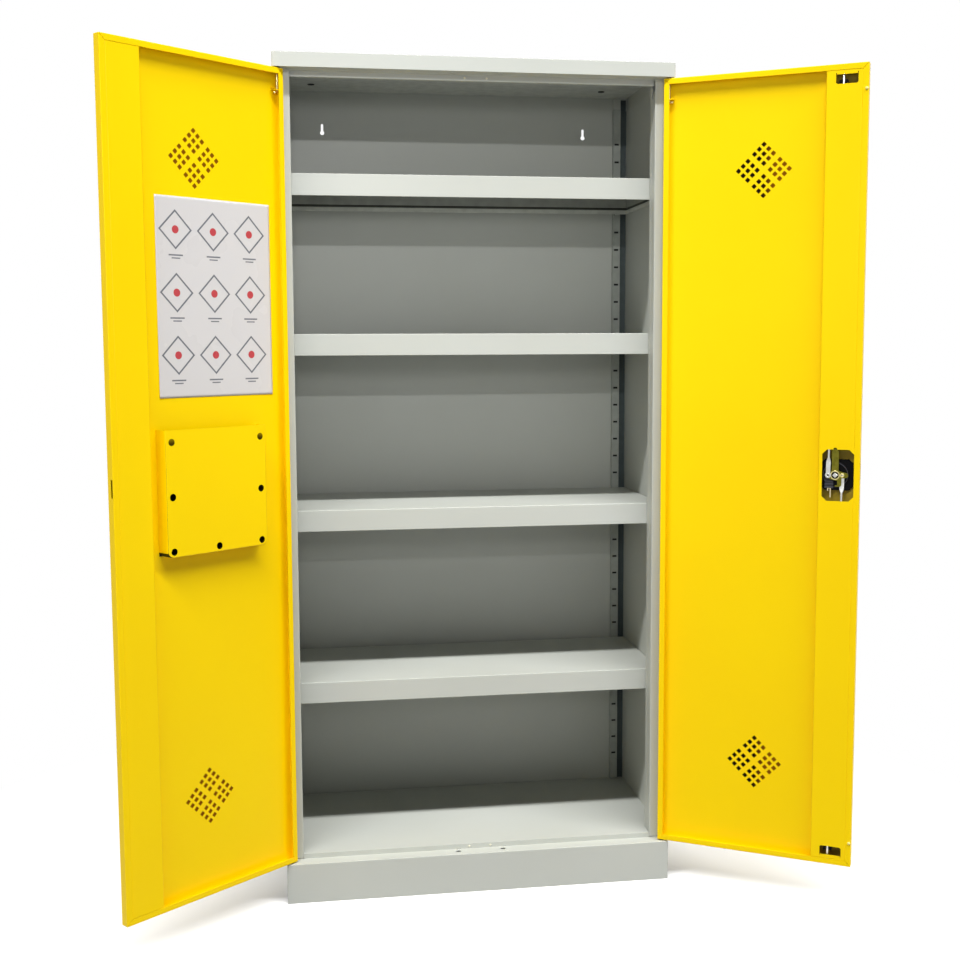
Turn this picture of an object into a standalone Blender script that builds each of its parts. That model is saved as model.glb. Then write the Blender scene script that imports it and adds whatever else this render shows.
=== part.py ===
"""Two-door chemical storage cabinet of folded sheet steel, standing with both doors open.

Metres, +Z up. X runs along the front from left to right, Y from the front to the back, and the floor is Z = 0.
Y = 0 is the front of the cap and the plinth. Door pieces are described by three distances: along the door from
its hinge edge, in from its outer skin, and up from the floor. Run with: blender --background --python part.py
"""
import math

import bmesh
import bpy
from mathutils import Matrix, Vector

# Overall sizes
HEIGHT = 1.950
WIDTH = 0.920
DEPTH = 0.445

# Sheet, seats and cuts
SHEET = 0.001
SEAT = 0.0003
OVERRUN = 0.004
HALF_WIDTH = WIDTH / 2

# Plinth frame and floor
PLINTH_HEIGHT = 0.0945
PLINTH_FLANGE = 0.050
PLINTH_FOOT = 0.025
FLOOR_FOLD = 0.0107
FLOOR_TOP = PLINTH_HEIGHT + SEAT + FLOOR_FOLD

# Cap and the header rail under its front edge
CAP_HEIGHT = 0.0325
CAP_UNDER = HEIGHT - CAP_HEIGHT
HEADER_SETBACK = 0.045
HEADER_LIP = 0.0125
HEADER_RETURN = 0.012
CEILING_HOLE_RADIUS = 0.0065
CEILING_HOLE_INSET = 0.091
CEILING_HOLE_X = HALF_WIDTH - CEILING_HOLE_INSET
CEILING_HOLE_Y = DEPTH - CEILING_HOLE_INSET
PLUG_FLANGE = 0.0025
PLUG_HEAD = 0.0016
PLUG_LENGTH = 0.003
PLUG_CHAMFER = 0.001

# Side panels: a front post, the side itself and a rear flange, folded from one sheet
POST_SETBACK = 0.034
POST_WIDTH = 0.0385
POST_RETURN = 0.028
POST_TUCK = 0.014
POST_MITRE = 0.026
POST_MITRE_DROP = 0.022
REAR_FLANGE = 0.015
SIDE_BOTTOM = PLINTH_HEIGHT + SEAT
SIDE_TOP = CAP_UNDER - SEAT

# Back panel with two keyholes for hanging it on the wall
BACK_FRONT = DEPTH - SHEET
REAR_ROOM = SHEET + 2 * SEAT
KEYHOLE_INSET = 0.119
KEYHOLE_DROP = 0.1045
KEYHOLE_X = HALF_WIDTH - KEYHOLE_INSET
KEYHOLE_Z = HEIGHT - KEYHOLE_DROP
KEYHOLE_RADIUS = 0.0055
KEYHOLE_SLOT = 0.006
KEYHOLE_RISE = 0.0225

# Slotted uprights
UPRIGHT_WIDTH = 0.019
UPRIGHT_DEPTH = 0.0125
UPRIGHT_INSET = 0.0195
SLOT_WIDTH = 0.012
SLOT_HEIGHT = 0.005
SLOT_PITCH = 0.0458
TOP_SLOT_DROP = 0.1215
LOW_SLOT_ROOM = 0.050
TOP_SLOT = HEIGHT - TOP_SLOT_DROP
SLOT_COUNT = 1 + int((TOP_SLOT - FLOOR_TOP - LOW_SLOT_ROOM) / SLOT_PITCH)
UPRIGHT_END_GAP = 0.001

# Shelves, placed by shares of the slots counted down from the top one
SHELF_FOLD = 0.050
SHELF_HEM = 0.011
SHELF_HEM_THICKNESS = 0.0025
SHELF_FRONT = 0.080
SHELF_SIDE_GAP = 0.0016
SHELF_SLOT_SHARES = (0.111, 0.333, 0.583, 0.833)
SHELF_SLOTS = [round(share * (SLOT_COUNT - 1)) for share in SHELF_SLOT_SHARES]
CLIP_RISE = 0.0012
CLIP_SHEET = 0.0015
CLIP_LEDGE = 0.013
CLIP_DROP = 0.012
CLIP_WIDTH = 0.0105
UPRIGHT_TO_SHELF = 0.0024

# Doors
DOOR_THICKNESS = 0.020
DOOR_SETBACK = 0.004
DOOR_SIDE_GAP = 0.001
DOOR_MEETING_GAP = 0.001
DOOR_TOP_GAP = 0.0025
DOOR_BOTTOM_GAP = 0.003
DOOR_LIP = 0.013
DOOR_BOTTOM = PLINTH_HEIGHT + DOOR_BOTTOM_GAP
DOOR_TOP = CAP_UNDER - DOOR_TOP_GAP
DOOR_WIDTH = HALF_WIDTH - DOOR_SIDE_GAP - DOOR_MEETING_GAP / 2
LEFT_OPEN = math.radians(140.33)
RIGHT_OPEN = math.radians(148.90)

# Hinge pins, their brackets and their bushes
PIN_ALONG = 0.010
PIN_IN = 0.010
PIN_RADIUS = 0.00275
PIN_STANDOUT = 0.009
PIN_LENGTH = 0.062
PIN_HOOK = 0.010
PIN_BEND = 0.003
PIN_CLEARANCE = 0.0006
BRACKET_DROP = 0.048
BRACKET_SHEET = 0.0015
BRACKET_LENGTH = 0.020
BRACKET_REACH = 0.016
BRACKET_WELD = 0.0005
BRACKET_LEG = 0.010
BUSH_WALL = 0.0015
BUSH_FLANGE = 0.0012
BUSH_FLANGE_RADIUS = 0.0062
BUSH_NECK = 0.004

# Stiffener channel along each door's free edge
STIFFENER_WIDTH = 0.078
STIFFENER_TUCK = 0.009
STIFFENER_GAP = 0.0004
PANEL_WIDTH = DOOR_WIDTH - DOOR_LIP - STIFFENER_WIDTH

# Diamond vents
VENT_HOLE = 0.008
VENT_PITCH = 0.015
VENT_MID_PITCH = 0.021
VENT_PER_SIDE = 6
VENT_EDGE_DISTANCE = 0.2175
SCREEN_SIDE = 0.100
SCREEN_THICKNESS = 0.0006
VENT_FRAME_SIDE = 0.112
VENT_FRAME_BAR = 0.010
VENT_FRAME_THICKNESS = 0.0016

# Lock window, rod windows and rod holes in the right door
LOCK_EDGE_DISTANCE = 0.0545
LOCK_ALONG = DOOR_WIDTH - LOCK_EDGE_DISTANCE
LOCK_HEIGHT = 1.007
WINDOW_OFFSET = 0.0065
WINDOW_ALONG = LOCK_ALONG + WINDOW_OFFSET
WINDOW_WIDTH = 0.070
WINDOW_TALL = 0.117
WINDOW_CHAMFER = 0.0105
WINDOW_NOTCH = 0.0045
ROD_WINDOW_OFFSET = 0.007
ROD_WINDOW_WIDTH = 0.048
ROD_WINDOW_TALL = 0.0205
ROD_WINDOW_CHAMFER = 0.003
ROD_WINDOW_SLIT = 0.0018
ROD_WINDOW_SLIT_RISE = 0.004
ROD_WINDOW_EDGE = 0.0225
ROD_END_OFFSET = 0.001
ROD_END_ALONG = LOCK_ALONG + ROD_END_OFFSET
ROD_WINDOW_ALONG = ROD_END_ALONG + ROD_WINDOW_OFFSET
ROD_IN = 0.0154
ROD_RADIUS = 0.003
ROD_HOLE_RADIUS = 0.0037
ROD_END_INSET = 0.002
STRIKE_WIDTH = 0.011
STRIKE_DEPTH = 0.014
ARM_SLOT_ABOVE = 0.0285
ARM_SLOT_BELOW = 0.009
ARM_SLOT_GAP = 0.002

# Lock pieces
EAR_RADIUS = 0.0155
EAR_END_RADIUS = 0.0065
CAM_IN = 0.0136
CAM_SHEET = 0.002
CAM_HUB_RADIUS = 0.0125
CAM_ARM_WIDTH = 0.015
CAM_ARM_REACH = 0.0595
CAM_TAIL_REACH = 0.026
CAM_TAIL_START = 0.005
CAM_TAIL_WIDTH = 0.009
CAM_TAIL_HOOK = 0.005
CAM_TAIL_BAR = 0.003
SPINDLE_SIDE = 0.0085
SPINDLE_END = 0.0168
ROD_EYE_RADIUS = 0.0085
ROD_EYE_IN = 0.0160
ROD_EYE_SHEET = 0.0016
ROD_FLAT_LENGTH = 0.034
ROD_TAPER_LENGTH = 0.010
ROD_FLAT_HALF = 0.0045
FLAT_SHARE = 1.3
RIVET_RADIUS = 0.004
RIVET_HEAD = 0.0014
GUIDE_LENGTH = 0.018
GUIDE_HEIGHT = 0.008
GUIDE_TOP_IN = 0.0185
GUIDE_EDGE_DISTANCE = 0.036

# Handle on the outer face
DISH_OFFSET = 0.0025
DISH_ALONG = LOCK_ALONG + DISH_OFFSET
DISH_HALF_WIDTH = 0.0365
DISH_HALF_TALL = 0.035
DISH_CHAMFER = 0.0105
DISH_RIM = 0.004
DISH_RIM_THICKNESS = 0.0022
DISH_BODY_IN = 0.0055
DISH_WALL = 0.002
DISH_BOSS_RADIUS = 0.0315
DISH_BOSS_IN = 0.0080
DISH_HOLE_RADIUS = 0.0066
SKIN_HOLE_GAP = 0.0006
GRIP_LENGTH = 0.058
GRIP_WIDTH = 0.015
GRIP_OUT = 0.012
GRIP_THICKNESS = 0.009
GRIP_HUB_RADIUS = 0.0105
GRIP_HUB_END = 0.0055
LOCK_BLOCK_OFFSET = 0.0135
LOCK_BLOCK_DROP = 0.018
LOCK_BLOCK_ALONG = LOCK_ALONG - LOCK_BLOCK_OFFSET
LOCK_BLOCK_Z = LOCK_HEIGHT - LOCK_BLOCK_DROP
LOCK_BLOCK_WIDTH = 0.019
LOCK_BLOCK_TALL = 0.024
LOCK_BLOCK_DEPTH = 0.0046
LOCK_RIBS = 4
LOCK_RIB_RISE = 0.0006
PLUG_RADIUS = 0.0050
PLUG_GAP = 0.0004
PLUG_OUT = 0.0012
BOLT_HUB_RADIUS = 0.0052
BOLT_ROOM = 0.0062
BOLT_REACH = 0.0335
BOLT_HOOK_TOP = 0.0130
BOLT_HOOK_END = 0.0185
BOLT_HALF_WIDTH = 0.0042
BOLT_BAR = 0.0026
BOLT_SHEET = 0.002
KEY_BOW_RADIUS = 0.010
KEY_SHEET = 0.002
KEY_STEM = 0.010
KEY_STEM_WIDTH = 0.006
KEY_RING_HOLE = 0.003

# Sheet, pocket and buffers on the doors
SHEET_A3_WIDTH = 0.297
SHEET_A3_TALL = 0.420
SHEET_A3_THICKNESS = 0.0005
SHEET_A3_PLACE_SHARE = 0.475
SHEET_A3_DROP = 0.2995
SHEET_A3_ALONG = (PANEL_WIDTH - SHEET_A3_WIDTH) * SHEET_A3_PLACE_SHARE
SHEET_A3_TOP = DOOR_TOP - SHEET_A3_DROP
POCKET_WIDTH = 0.261
POCKET_TALL = 0.268
POCKET_PLACE_SHARE = 0.77
POCKET_DROP = 1.053
POCKET_ALONG = (PANEL_WIDTH - POCKET_WIDTH) * POCKET_PLACE_SHARE
POCKET_BOTTOM = DOOR_TOP - POCKET_DROP
POCKET_DEPTH = 0.034
POCKET_CORNER = 0.014
POCKET_FLANGE = 0.009
POCKET_HOLE_RADIUS = 0.0077
POCKET_HOLE_INSET = 0.0155
POCKET_HOLE_EDGE = 0.0125
BUFFER_RADIUS = 0.0045
BUFFER_RISE = 0.0035
BUFFER_EDGE_INSET = 0.0045
BUFFER_ALONG = DOOR_WIDTH - BUFFER_EDGE_INSET
BUFFER_END_DISTANCE = 0.0565
BUTTON_RADIUS = 0.003
BUTTON_RISE = 0.0035
BUTTON_DROP = 0.0715
BUTTON_Z = DOOR_TOP - BUTTON_DROP
DOT_RADIUS = 0.0026
DOT_RISE = 0.0012
DOT_X = 0.0255

# Facets, and the shares that shape a dome
ROUND_SIDES = 16
SMALL_SIDES = 10
ARC_STEPS = 5
DOME_SHARES = (0.55, 0.55)

# Colours: base colour, roughness, metallic
GREY = ((0.60, 0.61, 0.55), 0.42, 0.0)
YELLOW = ((0.95, 0.66, 0.01), 0.38, 0.0)
GALVANISED = ((0.62, 0.63, 0.62), 0.35, 1.0)
CHROMATE = ((0.52, 0.46, 0.16), 0.35, 1.0)
BRASS = ((0.72, 0.52, 0.22), 0.30, 1.0)
BLACK_PLASTIC = ((0.012, 0.012, 0.013), 0.35, 0.0)
PALE_PLASTIC = ((0.80, 0.79, 0.70), 0.45, 0.0)
GAUZE = ((0.03, 0.025, 0.018), 0.70, 0.3)
PAPER = ((0.90, 0.90, 0.88), 0.45, 0.0)
RUBBER = ((0.03, 0.025, 0.02), 0.70, 0.0)

LEFT, RIGHT = -1, 1
SIDE_NAMES = {LEFT: "left", RIGHT: "right"}


def clear_scene():
    """Removes what the file holds before anything is built."""
    for item in list(bpy.data.objects):
        bpy.data.objects.remove(item, do_unlink=True)


def paint(name, finish):
    """A Principled material from a base colour, a roughness and a metallic value."""
    colour, roughness, metallic = finish
    material = bpy.data.materials.new(name)
    material.use_nodes = True
    shader = material.node_tree.nodes["Principled BSDF"]
    shader.inputs["Base Color"].default_value = (*colour, 1)
    shader.inputs["Roughness"].default_value = roughness
    shader.inputs["Metallic"].default_value = metallic
    material.diffuse_color = (*colour, 1)
    return material


def add_object(name, shape, finish=None, parent=None, location=(0, 0, 0)):
    """Turns a bmesh into an object with its own material, under an optional parent."""
    bmesh.ops.recalc_face_normals(shape, faces=shape.faces)
    mesh = bpy.data.meshes.new(name)
    shape.to_mesh(mesh)
    shape.free()
    item = bpy.data.objects.new(name, mesh)
    bpy.context.scene.collection.objects.link(item)
    item.parent = parent
    item.location = location
    if finish is not None:
        mesh.materials.append(paint(name + "_finish", finish))
    return item


def add_empty(name, location, turn=0, parent=None):
    """An empty that marks a joint's axis and carries the pieces that turn about it."""
    item = bpy.data.objects.new(name, None)
    bpy.context.scene.collection.objects.link(item)
    item.parent = parent
    item.location = location
    item.rotation_euler = (0, 0, turn)
    return item


def combine(target, operation, name, shape):
    """Adds a Boolean modifier whose second solid is a helper object under the same parent."""
    helper = add_object(name, shape, parent=target.parent, location=target.location)
    helper.hide_render = True
    helper.display_type = "WIRE"
    modifier = target.modifiers.new(name, "BOOLEAN")
    modifier.operation = operation
    modifier.solver = "EXACT"
    modifier.object = helper


def add_box(shape, low, high):
    """A box between two corners."""
    corners = [shape.verts.new((x, y, z)) for x in (low[0], high[0]) for y in (low[1], high[1]) for z in (low[2], high[2])]
    for loop in ((0, 1, 3, 2), (4, 6, 7, 5), (0, 4, 5, 1), (2, 3, 7, 6), (0, 2, 6, 4), (1, 5, 7, 3)):
        shape.faces.new([corners[index] for index in loop])


def add_loft(shape, rings):
    """Joins rings of equal point count into one closed skin."""
    rows = [[shape.verts.new(point) for point in ring] for ring in rings]
    for first, second in zip(rows, rows[1:]):
        count = len(first)
        for index in range(count):
            after = (index + 1) % count
            shape.faces.new((first[index], first[after], second[after], second[index]))
    shape.faces.new(list(reversed(rows[0])))
    shape.faces.new(rows[-1])


def add_prism(shape, outline, axis, start, end):
    """Pushes a flat outline along X, Y or Z. The outline's two values are the other two axes in order."""
    def lift(point, along):
        first, second = point
        return {"x": (along, first, second), "y": (first, along, second), "z": (first, second, along)}[axis]
    add_loft(shape, [[lift(point, along) for point in outline] for along in (start, end)])


def add_turned_ring(shape, centre, section):
    """A ring about Z from a closed section of radius and height, such as a bush."""
    rows = []
    for step in range(ROUND_SIDES):
        angle = math.tau * step / ROUND_SIDES
        rows.append([shape.verts.new((centre[0] + radius * math.cos(angle), centre[1] + radius * math.sin(angle), height))
                     for radius, height in section])
    for step in range(ROUND_SIDES):
        here, there = rows[step], rows[(step + 1) % ROUND_SIDES]
        for index in range(len(section)):
            after = (index + 1) % len(section)
            shape.faces.new((here[index], there[index], there[after], here[after]))


def circle(centre, radius, sides=ROUND_SIDES, start=0):
    """Points of a circle in the plane."""
    return [(centre[0] + radius * math.cos(start + math.tau * step / sides),
             centre[1] + radius * math.sin(start + math.tau * step / sides)) for step in range(sides)]


def arc(centre, radius, start, end, steps=ARC_STEPS):
    """Points of an arc, both ends included, angles in degrees."""
    turns = [math.radians(start + (end - start) * step / steps) for step in range(steps + 1)]
    return [(centre[0] + radius * math.cos(turn), centre[1] + radius * math.sin(turn)) for turn in turns]


def octagon(centre, half_width, half_tall, chamfer):
    """A rectangle with its four corners cut off, listed from the lower right upward."""
    near_x, near_z = half_width - chamfer, half_tall - chamfer
    points = [(half_width, -near_z), (half_width, near_z), (near_x, half_tall), (-near_x, half_tall)]
    points += [(-x, -z) for x, z in points]
    return [(centre[0] + x, centre[1] + z) for x, z in points]


def sheet_section(path, thickness):
    """Outline of a folded sheet: the path is one face, the other lies to its left by the thickness."""
    points = [Vector(point) for point in path]
    offset = []
    for index, point in enumerate(points):
        normals = []
        for first, second in ((index - 1, index), (index, index + 1)):
            if first >= 0 and second < len(points):
                run = (points[second] - points[first]).normalized()
                normals.append(Vector((-run.y, run.x)))
        mean = sum(normals, Vector((0, 0)))
        if len(normals) == 2:
            mean = mean / (1 + normals[0].dot(normals[1]))
        offset.append(point + mean * thickness)
    return [tuple(point) for point in points] + [tuple(point) for point in reversed(offset)]


def rectangle_ring(low, high, inset, height, plane="z"):
    """Four corners of a rectangle drawn in by an inset, at one height."""
    corners = ((low[0] + inset, low[1] + inset), (high[0] - inset, low[1] + inset),
               (high[0] - inset, high[1] - inset), (low[0] + inset, high[1] - inset))
    if plane == "z":
        return [(x, y, height) for x, y in corners]
    return [(x, height, z) for x, z in corners]


def build_plinth():
    """A frame of four walls with a wide flange on top and a narrow one on the floor."""
    low, high = (-HALF_WIDTH, 0), (HALF_WIDTH, DEPTH)
    top, wall = PLINTH_HEIGHT, SHEET
    profile = ((PLINTH_FOOT, 0), (0, 0), (0, top), (PLINTH_FLANGE, top), (PLINTH_FLANGE, top - wall),
               (wall, top - wall), (wall, wall), (PLINTH_FOOT, wall))
    shape = bmesh.new()
    rows = [[shape.verts.new(point) for point in rectangle_ring(low, high, inset, height)] for inset, height in profile]
    for index, row in enumerate(rows):
        other = rows[(index + 1) % len(rows)]
        for corner in range(4):
            after = (corner + 1) % 4
            shape.faces.new((row[corner], row[after], other[after], other[corner]))
    plinth = add_object("plinth", shape, GREY)
    holes = bmesh.new()
    add_frame_holes(holes, PLINTH_HEIGHT - SHEET - OVERRUN, PLINTH_HEIGHT + OVERRUN)
    combine(plinth, "DIFFERENCE", "plinth_cutter", holes)


def add_frame_holes(shape, start, end):
    """Strike slots for the lock rods and round holes for the hinge bushes, alike in the cap and the plinth."""
    strike_y = DOOR_SETBACK + ROD_IN
    for side in (LEFT, RIGHT):
        centre = side * (HALF_WIDTH - DOOR_SIDE_GAP - ROD_END_ALONG)
        half_width, half_depth = STRIKE_WIDTH / 2, STRIKE_DEPTH / 2
        add_box(shape, (centre - half_width, strike_y - half_depth, start), (centre + half_width, strike_y + half_depth, end))
        add_prism(shape, circle(hinge_axis(side), bush_radius() + SEAT), "z", start, end)


def hinge_axis(side):
    """Where a door's hinge axis stands on the floor plan."""
    return (side * (HALF_WIDTH - DOOR_SIDE_GAP - PIN_ALONG), DOOR_SETBACK + PIN_IN)


def bush_radius():
    """Outer radius of a bush's neck."""
    return PIN_RADIUS + PIN_CLEARANCE + BUSH_WALL


def build_floor_pan():
    """The floor: a plate notched round the posts, with a short fold down at its front and back."""
    notch_x = HALF_WIDTH - POST_WIDTH - SEAT
    notch_y = POST_SETBACK + POST_RETURN + SEAT
    side_x = HALF_WIDTH - SHEET - SEAT
    back = BACK_FRONT - REAR_ROOM
    outline = [(-notch_x, POST_SETBACK), (notch_x, POST_SETBACK), (notch_x, notch_y), (side_x, notch_y),
               (side_x, back), (-side_x, back), (-side_x, notch_y), (-notch_x, notch_y)]
    shape = bmesh.new()
    add_prism(shape, outline, "z", FLOOR_TOP - SHEET, FLOOR_TOP)
    pan = add_object("floor_pan", shape, GREY)
    folds = bmesh.new()
    low, high = FLOOR_TOP - FLOOR_FOLD, FLOOR_TOP - SHEET / 2
    add_box(folds, (-notch_x, POST_SETBACK, low), (notch_x, POST_SETBACK + SHEET, high))
    add_box(folds, (-side_x, back - SHEET, low), (side_x, back, high))
    combine(pan, "UNION", "floor_fold", folds)


def build_side_panel(side):
    """Rear flange, side and front post in one folded sheet, with the post's return mitred at the top."""
    out, post = HALF_WIDTH, HALF_WIDTH - POST_WIDTH
    rear = BACK_FRONT - SEAT
    path = [(out - REAR_FLANGE, rear), (out, rear), (out, POST_SETBACK), (post, POST_SETBACK),
            (post, POST_SETBACK + POST_RETURN), (post + POST_TUCK, POST_SETBACK + POST_RETURN)]
    outline = [(side * x, y) for x, y in sheet_section(list(reversed(path)), SHEET)]
    shape = bmesh.new()
    add_prism(shape, outline, "z", SIDE_BOTTOM, SIDE_TOP)
    panel = add_object("side_panel_" + SIDE_NAMES[side], shape, GREY)
    mitre = bmesh.new()
    start_y = POST_SETBACK + SHEET
    end_y = POST_SETBACK + POST_RETURN + OVERRUN
    corner = [(start_y, SIDE_TOP + OVERRUN), (start_y, SIDE_TOP - POST_MITRE_DROP),
              (end_y, SIDE_TOP - POST_MITRE_DROP - POST_MITRE), (end_y, SIDE_TOP + OVERRUN)]
    inner, outer = post - OVERRUN, post + POST_TUCK + OVERRUN
    add_prism(mitre, corner, "x", side * inner, side * outer)
    combine(panel, "DIFFERENCE", "side_mitre_" + SIDE_NAMES[side], mitre)


def build_back_panel():
    """A flat sheet with two keyholes near the top."""
    half = HALF_WIDTH - SHEET - SEAT
    shape = bmesh.new()
    add_box(shape, (-half, BACK_FRONT, SIDE_BOTTOM), (half, DEPTH, SIDE_TOP))
    panel = add_object("back_panel", shape, GREY)
    holes = bmesh.new()
    for side in (LEFT, RIGHT):
        add_prism(holes, keyhole(side * KEYHOLE_X), "y", BACK_FRONT - OVERRUN, DEPTH + OVERRUN)
    combine(panel, "DIFFERENCE", "keyhole_cutter", holes)


def keyhole(x):
    """A round hole with a narrower slot rising out of it."""
    half_slot = KEYHOLE_SLOT / 2
    lean = math.degrees(math.asin(half_slot / KEYHOLE_RADIUS))
    bowl = arc((x, KEYHOLE_Z), KEYHOLE_RADIUS, 90 + lean, 450 - lean, 2 * ARC_STEPS)
    top = KEYHOLE_Z + KEYHOLE_RISE - half_slot
    return bowl + arc((x, top), half_slot, 0, 180)


def build_cap():
    """A shallow lid: a top sheet with skirts on all four sides and two holes plugged from below."""
    low, high = (-HALF_WIDTH, 0), (HALF_WIDTH, DEPTH)
    rings = [rectangle_ring(low, high, SHEET, HEIGHT - SHEET), rectangle_ring(low, high, SHEET, CAP_UNDER),
             rectangle_ring(low, high, 0, CAP_UNDER), rectangle_ring(low, high, 0, HEIGHT)]
    shape = bmesh.new()
    add_loft(shape, rings)
    cap = add_object("top_cap", shape, GREY)
    holes = bmesh.new()
    for side in (LEFT, RIGHT):
        spot = (side * CEILING_HOLE_X, CEILING_HOLE_Y)
        add_prism(holes, circle(spot, CEILING_HOLE_RADIUS), "z", HEIGHT - SHEET - OVERRUN, HEIGHT + OVERRUN)
    combine(cap, "DIFFERENCE", "cap_hole_cutter", holes)
    for side in (LEFT, RIGHT):
        build_ceiling_plug(side)


def build_ceiling_plug(side):
    """A plastic plug pressed up into a ceiling hole."""
    ceiling = HEIGHT - SHEET
    spot = (side * CEILING_HOLE_X, CEILING_HOLE_Y)
    neck, head = CEILING_HOLE_RADIUS - SEAT, CEILING_HOLE_RADIUS + PLUG_FLANGE
    levels = ((head - PLUG_CHAMFER, ceiling - PLUG_HEAD), (head, ceiling - SEAT), (neck, ceiling - SEAT),
              (neck, ceiling - PLUG_HEAD + PLUG_LENGTH - PLUG_CHAMFER))
    shape = bmesh.new()
    add_loft(shape, [[(x, y, height) for x, y in circle(spot, radius, SMALL_SIDES)] for radius, height in levels])
    add_object("ceiling_plug_" + SIDE_NAMES[side], shape, BLACK_PLASTIC)


def build_header():
    """The rail behind the cap's front edge: a strip over the doors and a lip between the posts."""
    half = HALF_WIDTH - SHEET - SEAT
    front = SHEET + SEAT
    strip_back = POST_SETBACK - SEAT
    between = HALF_WIDTH - POST_WIDTH - SEAT
    shape = bmesh.new()
    add_box(shape, (-half, front, CAP_UNDER), (half, strip_back, CAP_UNDER + SHEET))
    header = add_object("header_rail", shape, GREY)
    lip = bmesh.new()
    path = [(strip_back - SHEET, CAP_UNDER), (HEADER_SETBACK, CAP_UNDER), (HEADER_SETBACK, CAP_UNDER - HEADER_LIP),
            (HEADER_SETBACK + HEADER_RETURN, CAP_UNDER - HEADER_LIP)]
    add_prism(lip, sheet_section(path, SHEET), "x", -between, between)
    combine(header, "UNION", "header_lip", lip)
    holes = bmesh.new()
    add_frame_holes(holes, CAP_UNDER - OVERRUN, CAP_UNDER + SHEET + OVERRUN)
    combine(header, "DIFFERENCE", "header_cutter", holes)


def build_bush(name, side, plate, away):
    """A flanged plastic bush that a hinge pin turns in. Its neck sits in the plate's hole."""
    bore = PIN_RADIUS + PIN_CLEARANCE
    face = plate + away * SEAT
    back = face + away * BUSH_FLANGE
    neck = face - away * BUSH_NECK / 2
    section = ((bore, back), (BUSH_FLANGE_RADIUS, back), (BUSH_FLANGE_RADIUS, face),
               (bush_radius(), face), (bush_radius(), neck), (bore, neck))
    shape = bmesh.new()
    add_turned_ring(shape, hinge_axis(side), section)
    add_object("hinge_bush_" + name + "_" + SIDE_NAMES[side], shape, BLACK_PLASTIC)


def upright_centre(side, row):
    """Middle of an upright's slotted face on the floor plan. Row 0 stands at the back, row 1 behind the post."""
    x = side * (HALF_WIDTH - UPRIGHT_INSET - UPRIGHT_WIDTH / 2)
    back_face = BACK_FRONT - SEAT - UPRIGHT_DEPTH
    front_face = SHELF_FRONT - UPRIGHT_TO_SHELF
    return (x, back_face if row == 0 else front_face)


def build_upright(side, row):
    """A slotted channel. Its legs reach back to the panel at the rear and forward to the post at the front."""
    x, face = upright_centre(side, row)
    half = UPRIGHT_WIDTH / 2
    depth = UPRIGHT_DEPTH if row == 0 else face - (POST_SETBACK + POST_RETURN) - SEAT
    away = 1 if row == 0 else -1
    path = [(x - half, face + away * depth), (x - half, face), (x + half, face), (x + half, face + away * depth)]
    if away < 0:
        path = list(reversed(path))
    shape = bmesh.new()
    low = FLOOR_TOP + UPRIGHT_END_GAP
    high = (HEIGHT - SHEET - UPRIGHT_END_GAP) if row == 0 else SIDE_TOP
    add_prism(shape, sheet_section(path, SHEET), "z", low, high)
    name = "upright_" + ("rear_" if row == 0 else "front_") + SIDE_NAMES[side]
    upright = add_object(name, shape, GREY)
    slots, clips = bmesh.new(), bmesh.new()
    reach = SHEET + OVERRUN
    for count in range(SLOT_COUNT):
        z = TOP_SLOT - count * SLOT_PITCH
        add_box(slots, (x - SLOT_WIDTH / 2, face - reach, z - SLOT_HEIGHT / 2),
                (x + SLOT_WIDTH / 2, face + reach, z + SLOT_HEIGHT / 2))
    combine(upright, "DIFFERENCE", name + "_slots", slots)
    for index in range(len(SHELF_SLOTS)):
        add_clip(clips, x, face, -away, clip_ledge(index))
    combine(upright, "UNION", name + "_clips", clips)


def clip_ledge(index):
    """Height of the ledges that carry a shelf, just over the slot its clips hook into."""
    return TOP_SLOT - SHELF_SLOTS[index] * SLOT_PITCH + CLIP_RISE


def add_clip(shape, x, face, away, ledge):
    """A clip on an upright: a short leg on the slotted face and a ledge under the shelf's hem."""
    root = face - away * SHEET / 2
    outer = face + away * CLIP_SHEET
    tip = face + away * CLIP_LEDGE
    outline = [(root, ledge - CLIP_DROP), (outer, ledge - CLIP_DROP), (outer, ledge - CLIP_SHEET),
               (tip, ledge - CLIP_SHEET), (tip, ledge), (root, ledge)]
    add_prism(shape, outline, "x", x - CLIP_WIDTH / 2, x + CLIP_WIDTH / 2)


def shelf_top(index):
    """Height of a shelf's top face."""
    return clip_ledge(index) + SEAT + SHELF_FOLD


def build_shelf(index):
    """A tray turned upside down: top sheet, four deep folds and a hem along their lower edge."""
    top = shelf_top(index)
    bottom = top - SHELF_FOLD
    side_x = HALF_WIDTH - SHEET - SHELF_SIDE_GAP
    back = upright_centre(RIGHT, 0)[1] - UPRIGHT_TO_SHELF
    low, high = (-side_x, SHELF_FRONT), (side_x, back)
    rings = [rectangle_ring(low, high, SHEET, top - SHEET), rectangle_ring(low, high, SHEET, bottom + SHELF_HEM),
             rectangle_ring(low, high, SHELF_HEM_THICKNESS, bottom + SHELF_HEM - SHEET),
             rectangle_ring(low, high, SHELF_HEM_THICKNESS, bottom), rectangle_ring(low, high, 0, bottom),
             rectangle_ring(low, high, 0, top)]
    shape = bmesh.new()
    add_loft(shape, rings)
    add_object("shelf_%d" % (index + 1), shape, GREY)


def dome(shape, centre, radius, rise, direction, sides=SMALL_SIDES):
    """A low dome on a flat face. The direction is the face's outward axis as a vector."""
    turn = Vector((0, 0, 1)).rotation_difference(Vector(direction)).to_matrix()
    levels = ((radius, 0), (radius, rise * DOME_SHARES[0]), (radius * DOME_SHARES[1], rise))
    rings = []
    for reach, height in levels:
        rings.append([tuple(Vector(centre) + turn @ Vector((x, y, height))) for x, y in circle((0, 0), reach, sides)])
    add_loft(shape, rings)


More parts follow.
